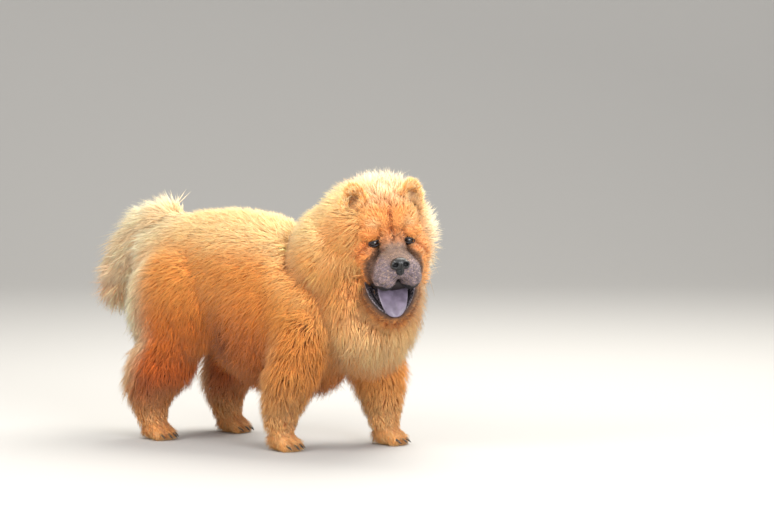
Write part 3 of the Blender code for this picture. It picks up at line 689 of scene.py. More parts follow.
def comb_bib(p, n):
    """Coat of the chest, hanging, longer to the left, where its tips are paler with painted rim
    light.
    """
    _, y, z = p.T
    lie = ways(0.05, 0.15 * np.sign(y), -1.0)
    left = ease(y, 0.03, 0.10)
    length = 0.074 + 0.010 * left
    rise = 0.042 + 0.012 * left
    low = ease(-z, -0.40, -0.28)
    root = blend(RED, ORANGE, low)
    tip = blend(ORANGE, GOLD, ease(ripple(p, 0.04, 3.0), -0.5, 0.7))
    tip = blend(tip, CREAM, 0.1 + 0.6 * low)
    # Paler tips to the left: a painted rim light on that side.
    tip = blend(tip, PALE, ease(y, 0.04, 0.12) * 0.8)
    tip = blend(tip, ORANGE, ease(-z, -0.27, -0.20) * 0.8)
    return lie, length, rise, root, tip


def comb_tail(p, n):
    """Plume of the tail, tallest on its crest."""
    x = p[:, 0]
    crest = ease(n[:, 2], 0.3, 0.9) * ease(-x, 0.20, 0.26)
    lie = tail_way(p) + n * 0.1 + np.array((-0.15, 0.0, -0.10))
    length = 0.084 + 0.020 * crest
    rise = 0.034 + 0.032 * crest
    under = ease(-n[:, 2] - 0.8 * n[:, 0], -0.4, 0.5) * ease(-x, 0.30, 0.36)
    streak = ease(ripple(p, 0.022, 8.0), -0.2, 0.7)
    root = blend(blend(GOLD, RED, under * 0.8), CREAM, crest * 0.8)
    tip = blend(blend(PALE, GOLD, streak * 0.35), ORANGE, under * 0.35)
    return lie, length, rise, root, tip


def comb_thigh(p, n):
    """Coat of a thigh, longer behind."""
    _, y, z = p.T
    rear = ease(-n[:, 0], 0.25, 0.80)
    low = ways(-0.35, 0.05 * np.sign(y), -0.95)
    lie = blend(low, ways(-0.8, 0.2 * np.sign(y), -0.5), ease(z, 0.32, 0.42))
    length = 0.052 + 0.016 * rear
    rise = 0.030 + 0.004 * rear
    root, tip = body_colours(p, n, lie, length)
    tip = blend(tip, GOLD, ease(z, 0.31, 0.42) * 0.5)
    return lie, length, rise, root, tip


def comb_leg(p, n, gold, paler):
    """Coat of a leg: gold by so much at its top, and paler by so much at its foot."""
    z = p[:, 2]
    rear = ease(-n[:, 0], 0.1, 0.8)
    low = ease(-z, -0.20, -0.05)
    lie = ways(-0.15 - 0.15 * rear, 0.0, -1.0)
    length = 0.050 - 0.026 * low + (0.014 - 0.004 * low) * rear
    rise = 0.028 - 0.018 * low + 0.006 * rear
    root, tip = body_colours(p, n, lie, length)
    tip = blend(tip, CREAM, rear * ease(z, 0.05, 0.16) * 0.75)
    root = blend(root, RED, low)
    tip = blend(tip, GOLD, ease(-z, -0.30, -0.20) * gold)
    tip = blend(tip, FAWN, low * paler)
    return lie, length, rise, root, tip


def comb_paw(p, n):
    """Short coat of a paw, with painted shade in the gaps between the toes."""
    gaps = toe_gaps(p)
    lie = ways(1.0, 0.0, -0.55 + 0 * gaps)
    length = np.full(len(p), 0.0125)
    rise = np.full(len(p), 0.0052)
    # Darker roots and tips in the gaps: painted shade between the toes.
    root = blend(ORANGE * 0.75, DEEP * 0.7, gaps)
    tip = blend(GOLD, CREAM, ease(ripple(p, 0.010, 5.0), -0.5, 0.5))
    tip = blend(tip, DEEP, gaps * 0.8)
    return lie, length, rise, root, tip


def comb_skull(p, n):
    """Coat of the head: short before the eyes, long in the crown, cheeks and ruff."""
    h = to_frame(head_matrix(), p)
    f, l, u = h.T
    below = ease(-u, 0.040, 0.095)
    away = h - blend(np.array((0.060, 0.0, -0.040)), np.array((0.030, 0.0, -0.115)), below)
    lie = ways_out(head_matrix(), unit(away) + np.array((-0.20, 0.0, 0.0)))
    cheek = 0.026 * ease(-l, 0.045, 0.080) * ease(-u, -0.060, -0.010)
    back = ease(-f - cheek, 0.005, 0.070)
    halo = ease(-f - cheek, 0.035, 0.080)
    crown = ease(u, 0.060, 0.100)
    left = ease(l, 0.02, 0.08) * halo
    length = 0.0130 + 0.016 * back + 0.030 * halo + 0.017 * crown + 0.010 * left
    rise = 0.0062 + 0.009 * back + 0.024 * halo + 0.017 * crown + 0.010 * left
    ruff = bell(np.abs(l), 0.066, 0.024) * ease(u, 0.035, 0.065)
    length += 0.014 * ruff
    rise += 0.012 * ruff
    # furrow: painted shade darkening tips and roots in the furrow between the brows.
    furrow = bell(l, 0.0, 0.0075) * ease(u, 0.000, 0.026) * ease(-u, -0.095, -0.060)
    brow = ease(u, 0.010, 0.050)
    # light: paler tips to the left, a painted light on that side.
    light = ease(l, 0.010, 0.075)
    root = blend(RED, GOLD, 0.25 + 0.25 * brow)
    tip = blend(ORANGE, FAWN, 0.26 + 0.10 * brow + 0.36 * light)
    # crest: paler tips and gold roots on the crown and the left of the halo, partly paler coat and
    # partly painted rim light.
    crest = np.maximum(ease(u, 0.062, 0.105), halo * ease(l, -0.02, 0.05))
    tip = blend(tip, blend(FAWN + 0 * tip, PALE, ease(f, -0.140, -0.090)), crest * 0.9)
    tip = blend(tip, DEEP, furrow * 0.7)
    root = blend(blend(root, DEEP, furrow), GOLD, crest * 0.7)
    root = blend(root, FAWN, ruff * 0.7)
    for way in (1, -1):
        under = bell(l, way * 0.036, 0.020) * bell(u, -0.019, 0.009)
        tip = blend(tip, ROSE, under * 0.6)
        spot = bell(l, way * 0.038, 0.013) * bell(u, 0.040, 0.012)
        tip = blend(tip, CREAM, spot * 0.7)
        # inner: painted shade in the fold that runs up from the eye's inner corner.
        inner = bell(l, way * 0.027, 0.0045) * bell(u, 0.021, 0.018)
        tip = blend(tip, UMBER * 0.5, inner * 0.85)
        # outer: painted shade in the fold that runs down from the eye's outer corner.
        outer = np.abs((l - way * 0.054) * 0.62 * way + (u + 0.010) * 0.78)
        outer = bell(outer, 0.0, 0.0045) * ease(np.abs(l), 0.046, 0.054)
        outer = outer * ease(-np.abs(l), -0.088, -0.072) * (l * way > 0)
        outer = outer * ease(f, -0.060, -0.040)
        tip = blend(tip, DEEP * 0.7, outer * 0.85)
    return lie, length, rise, root, tip


def comb_muzzle(p, n):
    """Velvet of the muzzle, speckled slate, umber on the bridge."""
    h = to_frame(head_matrix(), p)
    f, l, u = h.T
    aside = 0.8 * np.sign(l) * (np.abs(l) > 0.01)
    lie = ways_out(head_matrix(), ways(-1.0, aside, 0.25 * np.sign(u + 0.05)))
    back = ease(-f, -0.040, 0.010)
    length = 0.0040 + 0.0075 * back
    rise = 0.0013 + 0.0030 * back
    bridge = ease(u + 0.25 * (f - 0.03), -0.036, -0.016)
    speck = ease(ripple(h, 0.0070, 4.0), 0.0, 0.5)
    root = blend(SLATE * 0.7, UMBER, 0.6 * bridge)
    tip = blend(blend(SLATE, FAWN, 0.14 + 0.45 * speck), FAWN * 0.34, 0.60 * bridge)
    dots = ease(ripple(h, 0.0062, 9.0), 0.05, 0.35)
    tip = blend(tip, INK, dots * 0.85 * (1 - bridge * 0.4))
    rim = bell(f, 0.005, 0.010) * ease(np.abs(l), 0.020, 0.038)
    tip = blend(tip, UMBER * 0.6, rim * 0.9)
    tip = blend(tip, INK, ease(-u, 0.086, 0.094) * 0.9)
    return lie, length, rise, root, tip


def comb_jaw(p, n):
    """Coat of the chin: dark at the lip, gold below."""
    jaw = jaw_matrix()
    _, aside, above = to_frame(jaw, p).T
    lie = ways_out(jaw, ways(-0.25, 0.4 * np.sign(aside), -0.9))
    low = ease(-above, 0.001, 0.012)
    left = to_frame(head_matrix(), p)[:, 1]
    length = 0.008 + 0.024 * low
    rise = 0.0036 + 0.014 * low
    root = blend(INK, DEEP, low)
    tip = blend(blend(INK, UMBER, ease(-above, -0.006, 0.003)), GOLD, low)
    # Cream tips to the left: a painted light on that side.
    tip = blend(tip, CREAM, low * ease(left, 0.015, 0.055) * 0.7)
    return lie, length, rise, root, tip


def comb_ear(p, n):
    """Coat of an ear, short in its cup, which is darkened with painted shade."""
    h = to_frame(head_matrix(), p)
    _, l, u = h.T
    lie = ways_out(head_matrix(), ways(-0.25, 0.35 * np.sign(l), 1.0))
    cup = ear_cup(n, l, u)
    length = 0.019 - 0.009 * cup
    rise = 0.0085 - 0.005 * cup
    # cup: darker roots and tips, painted shade in the ear's hollow.
    root = blend(ORANGE, UMBER, cup)
    tip = blend(GOLD, CREAM, ease(ripple(h, 0.012, 6.0), -0.6, 0.6))
    tip = blend(tip, UMBER * 0.6 + RED * 0.4, cup * 0.7)
    return lie, length, rise, root, tip


def toe_gaps(p):
    """1 along the gaps between the toes, 0 elsewhere."""
    found = np.zeros(len(p))
    for place in paw_matrices():
        ahead, aside, _ = to_frame(place, p).T
        near = (np.hypot(ahead, aside) < 0.055) * ease(ahead, 0.004, 0.016)
        for gap in (-0.0165, 0.0, 0.0165):
            found = np.maximum(found, near * bell(aside, gap, 0.0026))
    return found


def ear_cup(normals, l, u):
    """1 inside the cup of an ear, 0 at its rim and behind it."""
    ahead = np.array(head_matrix().to_3x3() @ Vector((1.0, 0.0, 0.0)))
    away = np.minimum(np.abs(l - EAR_OUT[1]), np.abs(l - EAR_OUT[-1]))
    inside = ease(-away, -0.020, -0.008) * ease(-u, -EAR_HEIGHT - 0.026, -EAR_HEIGHT - 0.010)
    return ease(normals @ ahead, 0.25, 0.75) * inside


# The areas of the skin. Each: how it is combed, how much its tufts differ, and what its comb takes
COMBS = {
    "trunk": (comb_trunk, 0.13),
    "mane": (comb_mane, 0.13),
    "bib": (comb_bib, 0.13),
    "tail": (comb_tail, 0.13),
    "thigh": (comb_thigh, 0.13),
    "foreleg": (comb_leg, 0.13, 0.7, 0.85),
    "shank": (comb_leg, 0.13, 0.0, 0.55),
    "paw": (comb_paw, 0.13),
    "skull": (comb_skull, 0.13),
    "muzzle": (comb_muzzle, 0.75),
    "jaw": (comb_jaw, 0.13),
    "ear": (comb_ear, 0.13),
}
AREAS = tuple(COMBS)


def comb_all(points, normals, shares):
    """Blends the coats of all areas by each point's shares, darker round the muzzle's mask.

    Hair beside the open jaw and on the neck behind it is shorter, so that none hangs in the mouth.
    """
    count = len(points)
    coat = {key: np.zeros((count, 3)) for key in ("lie", "root", "tip")}
    coat.update({key: np.zeros(count) for key in ("length", "rise", "mottle")})
    for share, (comb, mottle, *extra) in zip(shares.T, COMBS.values()):
        if share.max() < 1e-4:
            continue
        lie, length, rise, root, tip = comb(points, normals, *extra)
        found = {"lie": unit(lie), "root": root, "tip": tip, "length": length, "rise": rise}
        found["mottle"] = np.full(count, mottle)
        for key, values in found.items():
            coat[key] += (values.T * share).T
    coat["lie"] = unit(coat["lie"])
    skull, muzzle, in_jaw = (shares[:, AREAS.index(a)] for a in ("skull", "muzzle", "jaw"))
    on_head = shares[:, AREAS.index("skull") :].sum(axis=1) > 0.5
    _, l, u = to_frame(head_matrix(), points).T
    border = 4 * muzzle * skull * ease(-u, 0.000, 0.014) * ease(np.abs(l), 0.018, 0.034)
    coat["tip"] = blend(coat["tip"], UMBER * 0.35, border * 0.8)
    coat["root"] = blend(coat["root"], INK, border * 0.8)
    coat["bare"] = mouth_opening(points, normals) * on_head
    ahead, aside, above = to_frame(jaw_matrix(), points).T
    aside = -np.abs(aside)
    beside = ease(aside, -0.095, -0.055) * ease(-above, -0.060, -0.030)
    beside *= ease(above, -0.034, -0.014) * on_head * (1 - in_jaw)
    beside *= ease(ahead, -0.040, 0.000) * ease(-ahead, -0.150, -0.125)
    behind = ease(aside, -0.115, -0.065) * ease(-above, -0.070, -0.035)
    behind *= ease(above, -0.080, -0.045) * (1 - on_head)
    behind *= ease(ahead, -0.050, 0.000) * ease(-ahead, -0.155, -0.120)
    coat["length"] *= 1 - 0.75 * beside - 0.60 * behind
    coat["rise"] *= 1 - 0.80 * beside - 0.75 * behind
    return coat


def mouth_opening(points, normals):
    """1 inside the open mouth, where no hair grows, else 0."""
    f, l, u = to_frame(head_matrix(), points).T
    j = to_frame(jaw_matrix(), points)
    inner = (np.abs(l) < 0.050) & (u < -0.088) & (f > -0.050) & (f < 0.058)
    inner &= (normals @ np.array(head_matrix())[:3, 2] < -0.25) & (j[:, 2] > 0.012)
    reach = np.interp(j[:, 0], [x for x, _ in LIP_LINE], [y for _, y in LIP_LINE], 0.0, 0.0)
    over = (np.abs(j[:, 1]) < reach * 0.94) & (j[:, 2] > -0.014) & (j[:, 2] < 0.030)
    return (inner | (over & (u < -0.092))).astype(float)


def calm_skin(mesh):
    """Fills the creases between trunk, thighs, neck and upper legs."""
    bm = bmesh.new()
    bm.from_mesh(mesh)
    upper = [v for v in bm.verts if v.co.z > CALM_ABOVE and v.co.x > CALM_AHEAD]
    for _ in range(CALM_PASSES):
        axes = {"use_axis_x": True, "use_axis_y": True, "use_axis_z": True}
        bmesh.ops.smooth_vert(bm, verts=upper, factor=0.5, **axes)
    bm.to_mesh(mesh)
    bm.free()


def build_skin():
    """The one skin, with the coat's fields kept for the tufts that stand on it."""
    body, body_trees = melt_forms("skin", body_forms(), BODY_CELL, BODY_PASSES)
    forms = head_forms()
    for side in (1, -1):
        pour(ear_form(side), forms["ear"])
    head, head_trees = melt_forms("head_skin", forms, HEAD_CELL, HEAD_PASSES)
    shape_face(head.data)
    calm_skin(body.data)
    points = points_of(body.data)
    points[points[:, 2] < SOLE_DEPTH, 2] = 0.0
    set_points(body.data, points)
    of_body = area_shares(points_of(body.data), body_trees, BODY_BLEND)
    shares = np.vstack((of_body, area_shares(points_of(head.data), head_trees, HEAD_BLEND)))
    bm = bmesh.new()
    bm.from_mesh(body.data)
    bm.from_mesh(head.data)
    bmesh.ops.triangulate(bm, faces=bm.faces)
    bm.to_mesh(body.data)
    bm.free()
    bpy.data.objects.remove(head)
    body.data.shade_smooth()
    unwrap(body)
    fields = comb_all(points_of(body.data), normals_of(body.data), shares)
    fields["shares"] = shares
    colour = fields["root"] * 0.45 + fields["tip"] * 0.35
    paint(body.data, "coat_colour", blend(colour, INK, fields["bare"]))
    return body, fields


def unwrap(obj):
    """Lays the skin's own shape out flat, for the tufts' places on it too."""
    view = bpy.context.view_layer
    for other in view.objects:
        other.select_set(False)
    view.objects.active = obj
    obj.select_set(True)
    bpy.ops.object.mode_set(mode="EDIT")
    bpy.ops.mesh.select_all(action="SELECT")
    bpy.ops.uv.smart_project(angle_limit=math.radians(70), island_margin=0.0)
    bpy.ops.object.mode_set(mode="OBJECT")
    obj.data.uv_layers[0].name = "OFBake"


# Materials


def add_node(look, kind, **values):
    node = look.node_tree.nodes.new(kind)
    for name, value in values.items():
        node.inputs[name].default_value = value
    return node


def new_look(name, sockets):
    """A material with its shader's sockets set by name."""
    look = bpy.data.materials.new(name)
    look.use_nodes = True
    for socket, value in sockets.items():
        look.node_tree.nodes["Principled BSDF"].inputs[socket].default_value = value
    return look


def add_relief(look, grain, output, strength, distance):
    """Raises the finish by the values of a texture node."""
    nodes, links = look.node_tree.nodes, look.node_tree.links
    where = nodes.new("ShaderNodeTexCoord")
    relief = add_node(look, "ShaderNodeBump", Strength=strength, Distance=distance)
    links.new(where.outputs["Object"], grain.inputs["Vector"])
    links.new(grain.outputs[output], relief.inputs["Height"])
    links.new(relief.outputs["Normal"], nodes["Principled BSDF"].inputs["Normal"])


def coat_look(name, sockets):
    """A material whose colour comes from the mesh's own attribute coat_colour."""
    look = new_look(name, sockets)
    colour = look.node_tree.nodes.new("ShaderNodeAttribute")
    colour.attribute_name = "coat_colour"
    base = look.node_tree.nodes["Principled BSDF"].inputs["Base Color"]
    look.node_tree.links.new(colour.outputs["Color"], base)
    return look


def skin_material():
    """Skin between the tufts: the coat's own colour, darker and dull, with fine pores."""
    look = coat_look("skin", {"Roughness": 0.75})
    pores = add_node(look, "ShaderNodeTexNoise", Scale=900.0, Detail=4.0)
    add_relief(look, pores, "Fac", 0.35, 0.0012)
    return look


def coat_material():
    """Hair: its colour runs from root to tip, with a soft sheen."""
    sockets = {"Roughness": 0.62, "Specular IOR Level": 0.25}
    return coat_look("hair", {**sockets, "Sheen Weight": 0.10, "Sheen Roughness": 0.45})


def plain_material(name, colour, roughness, coat=0.0, bump=0.0, scale=400.0):
    """A smooth finish with fine grain, and a clear wet layer where coat is above 0."""
    sockets = {"Base Color": (*colour, 1.0), "Roughness": roughness}
    look = new_look(name, {**sockets, "Coat Weight": coat, "Coat Roughness": 0.08})
    if bump:
        grain = add_node(look, "ShaderNodeTexVoronoi", Scale=scale)
        add_relief(look, grain, "Distance", bump, 0.0006)
    return look


def add_blotches(look, scale, detail, *stops):
    """Blotches of scale over the finish. Each stop: a colour, and where on the noise it lies."""
    nodes, links = look.node_tree.nodes, look.node_tree.links
    blotch = add_node(look, "ShaderNodeTexNoise", Scale=scale, Detail=detail)
    ramp = nodes.new("ShaderNodeValToRGB")
    for element, (colour, position) in zip(ramp.color_ramp.elements, stops):
        element.color = (*colour, 1.0)
        element.position = position
    links.new(nodes["Texture Coordinate"].outputs["Object"], blotch.inputs["Vector"])
    links.new(blotch.outputs["Fac"], ramp.inputs["Fac"])
    links.new(ramp.outputs["Color"], nodes["Principled BSDF"].inputs["Base Color"])
    return look


def lip_material():
    """Moist lip skin, black with paler freckles."""
    look = plain_material("lip_skin", settings().face.lip, 0.38, 0.3, 0.4, 600.0)
    return add_blotches(look, 260.0, 3.0, (settings().face.lip, 0.48), ((0.22, 0.18, 0.20), 0.60))


def tongue_material():
    """Moist tongue: lavender grey, darker in blotches, with fine buds."""
    look = plain_material("tongue_skin", settings().face.tongue, 0.42, 0.25, 0.35, 1100.0)
    dark = [c * 0.72 for c in settings().face.tongue]
    light = [min(c * 1.18, 1.0) for c in settings().face.tongue]
    return add_blotches(look, 60.0, 5.0, (dark, 0.35), (light, 0.65))


# Coat


def skin_samples(mesh, fields, areas, count, draw, keep):
    """Even random places on the skin's triangles in some areas, with the fields there."""
    tris = read(mesh.polygons, "vertices", 3, np.int32)
    points, normals = points_of(mesh), normals_of(mesh)
    uvs = read(mesh.uv_layers[0].data, "uv", 2).reshape(-1, 3, 2)
    corner = points[tris]
    edges = corner[:, 1:] - corner[:, :1]
    size = np.linalg.norm(np.cross(edges[:, 0], edges[:, 1]), axis=1)
    columns = [AREAS.index(a) for a in areas]
    owner = fields["shares"][tris].mean(axis=1).argmax(axis=1)
    weight = size * np.isin(owner, columns) * (fields["bare"][tris].max(axis=1) < 0.5)
    if keep is not None:
        weight = weight * keep(corner.mean(axis=1))
    total = np.cumsum(weight)
    picks = (np.arange(count) + draw.random(count)) / count * total[-1]
    chosen = np.minimum(np.searchsorted(total, picks), len(tris) - 1)
    a, b = draw.random(count), draw.random(count)
    over = a + b > 1
    a[over], b[over] = 1 - a[over], 1 - b[over]
    mix = np.stack((1 - a - b, a, b), 1)

    def at(values):
        rows = values[tris[chosen]]
        return (rows * mix.reshape(count, 3, *([1] * (rows.ndim - 2)))).sum(axis=1)

    found = {key: at(fields[key]) for key in ("lie", "length", "rise", "root", "tip", "mottle")}
    found["place"] = at(points)
    found["normal"] = unit(at(normals))
    found["uv"] = (uvs[chosen] * mix[:, :, None]).sum(axis=1)
    return found


def clump_pull(places, per_clump, draw):
    """For each tuft the vector from its root to its clump's middle, and the clump's number."""
    number = max(len(places) // per_clump, 1)
    middles = places[draw.choice(len(places), number, replace=False)]
    tree = kdtree.KDTree(number)
    for k, middle in enumerate(middles):
        tree.insert(middle, k)
    tree.balance()
    clump = np.array([tree.find(p)[1] for p in places])
    return middles[clump] - places, clump


def grow_tufts(name, found, width, joints, draw, clump_size=9, clump_share=0.35):
    """Joins one solid, tapered, bent tuft per root into one mesh."""
    count = len(found["place"])
    place, normal, length, rise = (found[k] for k in ("place", "normal", "length", "rise"))
    pull, clump = clump_pull(place, clump_size, draw)
    clumps = clump.max() + 1
    sway = draw.normal(0, STRAY, (clumps, 3))[clump] + draw.normal(0, STRAY * 1.1, (count, 3))
    lie = found["lie"] + sway
    lie = unit(lie - normal * (lie * normal).sum(axis=1, keepdims=True))
    span = draw.uniform(0.82, 1.10, count) * draw.uniform(0.90, 1.08, clumps)[clump]
    length = length * span
    rise = rise * draw.uniform(0.62, 1.08, count)
    rise = np.minimum(rise, length * 0.92)
    run = np.sqrt(np.maximum(length**2 - rise**2, 0))
    start = place - normal * np.minimum(ROOT_SINK, rise * 0.5)[:, None]
    bend = place + normal * (rise * BEND_UP)[:, None] + lie * (run * BEND_ALONG)[:, None]
    end = place + normal * rise[:, None] + lie * run[:, None]
    bend += pull * clump_share * 0.35
    end += pull * clump_share
    drop = settings().coat.droop
    end[:, 2] -= drop * run * 0.35
    wide = width * draw.uniform(0.75, 1.25, count)
    shares = np.linspace(0.0, 1.0, joints + 2)[:-1]
    verts, colours = [], []
    spread = found["mottle"]
    dye = np.exp(draw.normal(0, 0.8, clumps)[clump] * spread + draw.normal(0, 0.5, count) * spread)
    dye = np.minimum(dye, MOST_DYE)
    for t in shares:
        point = start * (1 - t) ** 2 + bend * 2 * t * (1 - t) + end * t * t
        along = unit((bend - start) * (1 - t) + (end - bend) * t)
        side = unit(np.cross(along, normal))
        face = np.cross(side, along)
        swell = 0.8 + 0.4 * math.sin(math.pi * min(t * 1.6, 1))
        half = (wide * 0.5 * (1 - TAPER * t) * swell)[:, None]
        verts += [point + side * half, point + face * half * BLADE_DEPTH, point - side * half]
        shade = blend(found["root"], found["tip"], np.full(count, t**0.8)) * dye[:, None]
        colours += [shade] * 3
    verts.append(end)
    colours.append(found["tip"] * dye[:, None])
    per = len(verts)
    points = np.stack(verts, 1).reshape(-1, 3)
    points[:, 2] = np.maximum(points[:, 2], 0.0004)
    shades = np.stack(colours, 1).reshape(-1, 3)
    faces = []
    for k in range(len(shares) - 1):
        for i in range(3):
            j = (i + 1) % 3
            low, high = 3 * k, 3 * (k + 1)
            faces += [(low + i, low + j, high + j), (low + i, high + j, high + i)]
    last = 3 * (len(shares) - 1)
    faces += [(last + i, last + (i + 1) % 3, per - 1) for i in range(3)]
    faces.append((2, 1, 0))
    faces = np.array(faces)[:, ::-1]
    tris = (np.arange(count)[:, None, None] * per + faces[None]).reshape(-1, 3)
    mesh = bpy.data.meshes.new(name)
    mesh.vertices.add(len(points))
    mesh.vertices.foreach_set("co", points.astype(np.float32).ravel())
    mesh.loops.add(len(tris) * 3)
    mesh.loops.foreach_set("vertex_index", tris.astype(np.int32).ravel())
    mesh.polygons.add(len(tris))
    mesh.polygons.foreach_set("loop_start", np.arange(0, len(tris) * 3, 3, dtype=np.int32))
    mesh.update()
    mesh.shade_smooth()
    paint(mesh, "coat_colour", np.clip(shades, 0, 1))
    patch = patch_places(per, len(shares))
    uv = (found["uv"][:, None, :] + patch[None]).reshape(-1, 2)[tris.ravel()]
    mesh.uv_layers.new(name="OFBake").data.foreach_set("uv", uv.astype(np.float32).ravel())
    return place_object(name, mesh)


def patch_places(per, rings):
    """Where a tuft's own points lie in its small patch on the skin's unwrap."""
    places = np.zeros((per, 2))
    for k in range(rings):
        places[3 * k : 3 * k + 3, 0] = (-PATCH / 2, 0.0, PATCH / 2)
        places[3 * k : 3 * k + 3, 1] = -PATCH / 2 + PATCH * k / rings
    places[-1] = (0.0, PATCH / 2)
    return places


def seeded(number):
    return np.random.default_rng(settings().coat.seed + number)


def grow_piece(name, areas, share, width, joints, slot, number, keep=None, **habits):
    """Grows one piece of coat on some areas, from its share of all tufts.

    joints is how often a tuft bends, number picks the seed, and keep tells which places to use.
    """
    draw = seeded(number)
    count = int(settings().coat.tufts * share)
    skin, fields = STATE["skin"], STATE["fields"]
    found = skin_samples(skin, fields, areas, count, draw, keep)
    made = grow_tufts(name, found, width, joints, draw, **habits)
    finish_piece(made, slot, STATE["hair"])
    return made


# Settings


def colour_setting(name, text, default):
    return FloatVectorProperty(name=name, description=text, subtype="COLOR", default=default)


class ChowCoat(bpy.types.PropertyGroup):
    seed: IntProperty(name="Seed", description="Seed of every random draw", default=7, min=0)
    tufts: IntProperty(
        name="Tufts", description="Number of tufts in the whole coat", default=142000, min=1000
    )
    droop: FloatProperty(
        name="Droop", description="How far the tips sag", default=0.25, min=0.0, max=1.0
    )


class ChowFace(bpy.types.PropertyGroup):
    iris: colour_setting("Iris", "Colour of the iris", (0.012, 0.005, 0.003))
    leather: colour_setting("Nose", "Colour of the nose leather", (0.0055, 0.0055, 0.0065))
    tongue: colour_setting("Tongue", "Colour of the tongue", (0.150, 0.120, 0.170))
    lip: colour_setting("Lips", "Colour of the lip skin", (0.014, 0.012, 0.016))


class ChowStage(bpy.types.PropertyGroup):
    floor: colour_setting("Floor", "Colour of the floor", (0.46, 0.451, 0.437))
    key: FloatProperty(
        name="Key light",
        description="Strength of the key light",
        default=100.0,
        min=0.0,
        subtype="POWER",
        unit="POWER",
    )
    distance: FloatProperty(
        name="Camera distance",
        description="From the camera to the muzzle",
        default=6.0,
        min=1.0,
        unit="LENGTH",
    )


class ChowChow(bpy.types.PropertyGroup):
    coat: PointerProperty(type=ChowCoat)
    face: PointerProperty(type=ChowFace)
    stage: PointerProperty(type=ChowStage)


# Pieces


class ChowSkin(bpy.types.Operator):
    """Build the skin that lies under the whole coat"""

    bl_idname = "chow.skin"
    bl_label = "Skin"

    def execute(self, context):
        skin, fields = build_skin()
        STATE["fields"] = fields
        STATE["skin"] = skin.data.copy()
        STATE["hair"] = coat_material()
        finish_piece(skin, "coat", skin_material())
        flesh = [n for n in frame["nodes"] if n not in ("nose", "tongue", "eye_left", "eye_right")]
        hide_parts(*flesh)
        return {"FINISHED"}


class ChowEyes(bpy.types.Operator):
    """Build the two eyes with their dark lids"""

    bl_idname = "chow.eyes"
    bl_label = "Eyes"

    def execute(self, context):
        glass = plain_material("eye", settings().face.iris, 0.10, coat=0.3)
        rim = plain_material("lid", settings().face.lip, 0.4)
        for side, name in ((1, "eye_left"), (-1, "eye_right")):
            bm = bmesh.new()
            place = (-EYE_SET_BACK, side * EYE_SPREAD, 0.0)
            add_egg(bm, head_matrix(), place, (EYE_RADIUS,) * 3, None, 48, 32)
            eye = finish_piece(new_piece(name + "_ball", bm), "eye", glass)
            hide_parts(name)
            bm = bmesh.new()
            for upper in (True, False):
                add_tube(bm, lid_points(side, upper), 10)
            lids = new_piece("lids_left" if side > 0 else "lids_right", bm)
            melt(lids, 0.0007, 4)
            finish_piece(lids, "lip_skin", rim)
        return {"FINISHED"}


def lid_points(side, upper):
    """Points along one lid, from the inner to the outer corner of the eye."""
    made = []
    for k in range(9):
        a = math.radians(-80 + 20 * k)
        out = math.sin(a) * EYE_RADIUS * 1.14
        rise = math.cos(a) * EYE_RADIUS * (0.48 if upper else -0.46) - 0.18 * side * out
        ahead = -EYE_SET_BACK + EYE_RADIUS * (0.42 + 0.62 * math.cos(a))
        radius = 0.0017 if upper else 0.0013
        made.append((head_matrix() @ Vector((ahead, side * EYE_SPREAD + out, rise)), radius))
    return made


class ChowNose(bpy.types.Operator):
    """Build the nose leather with its two nostrils"""

    bl_idname = "chow.nose"
    bl_label = "Nose"

    def execute(self, context):
        head = head_matrix()
        bm = bmesh.new()
        add_egg(bm, head, NOSE_PLACE, (0.015, 0.0200, 0.0142))
        add_egg(bm, head, NOSE_PLACE + Vector((-0.002, 0, -0.015)), (0.011, 0.010, 0.011))
        for side in (1, -1):
            wing = NOSE_PLACE + Vector((0.003, side * 0.0125, -0.002))
            add_egg(bm, head, wing, (0.013, 0.0092, 0.0105))
        nose = new_piece("nose_leather", bm)
        melt(nose, 0.0007, 5)
        points = points_of(nose.data)
        h = to_frame(head, points)
        for side in (1, -1):
            away = ((h[:, 1] - NOSE_PLACE.y - side * 0.0112) / 0.0050) ** 2
            away += ((h[:, 2] - NOSE_PLACE.z + 0.0010) / 0.0042) ** 2
            slit = ((h[:, 1] - NOSE_PLACE.y - side * 0.0162) / 0.0056) ** 2
            slit += ((h[:, 2] - NOSE_PLACE.z + 0.0030) / 0.0016) ** 2
            depth = 0.009 * np.exp(-(away**1.5)) + 0.004 * np.exp(-slit)
            h[:, 0] -= depth * (h[:, 0] > NOSE_PLACE.x)
        groove = bell(h[:, 1], NOSE_PLACE.y, 0.0011) * ease(-h[:, 2], 0.036, 0.042)
        h[:, 0] -= 0.0022 * groove * (h[:, 0] > NOSE_PLACE.x)
        set_points(nose.data, from_frame(head, h))
        look = plain_material("nose_leather", settings().face.leather, 0.42, 0.20, 0.4, 900.0)
        finish_piece(nose, "nose_leather", look)
        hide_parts("nose")
        return {"FINISHED"}


def lip_loop(share, rise):
    """A closed loop round the floor of the mouth, share of the way out to the lip, in jaw frame."""
    half = [Vector((x, y, 0)) for x, y in LIP_LINE]
    whole = half + [Vector((v.x, -v.y, 0)) for v in reversed(half)]
    middle = Vector((0.060, 0.0, 0.0))
    return [middle + (v - middle) * share + Vector((0, 0, rise)) for v in whole]


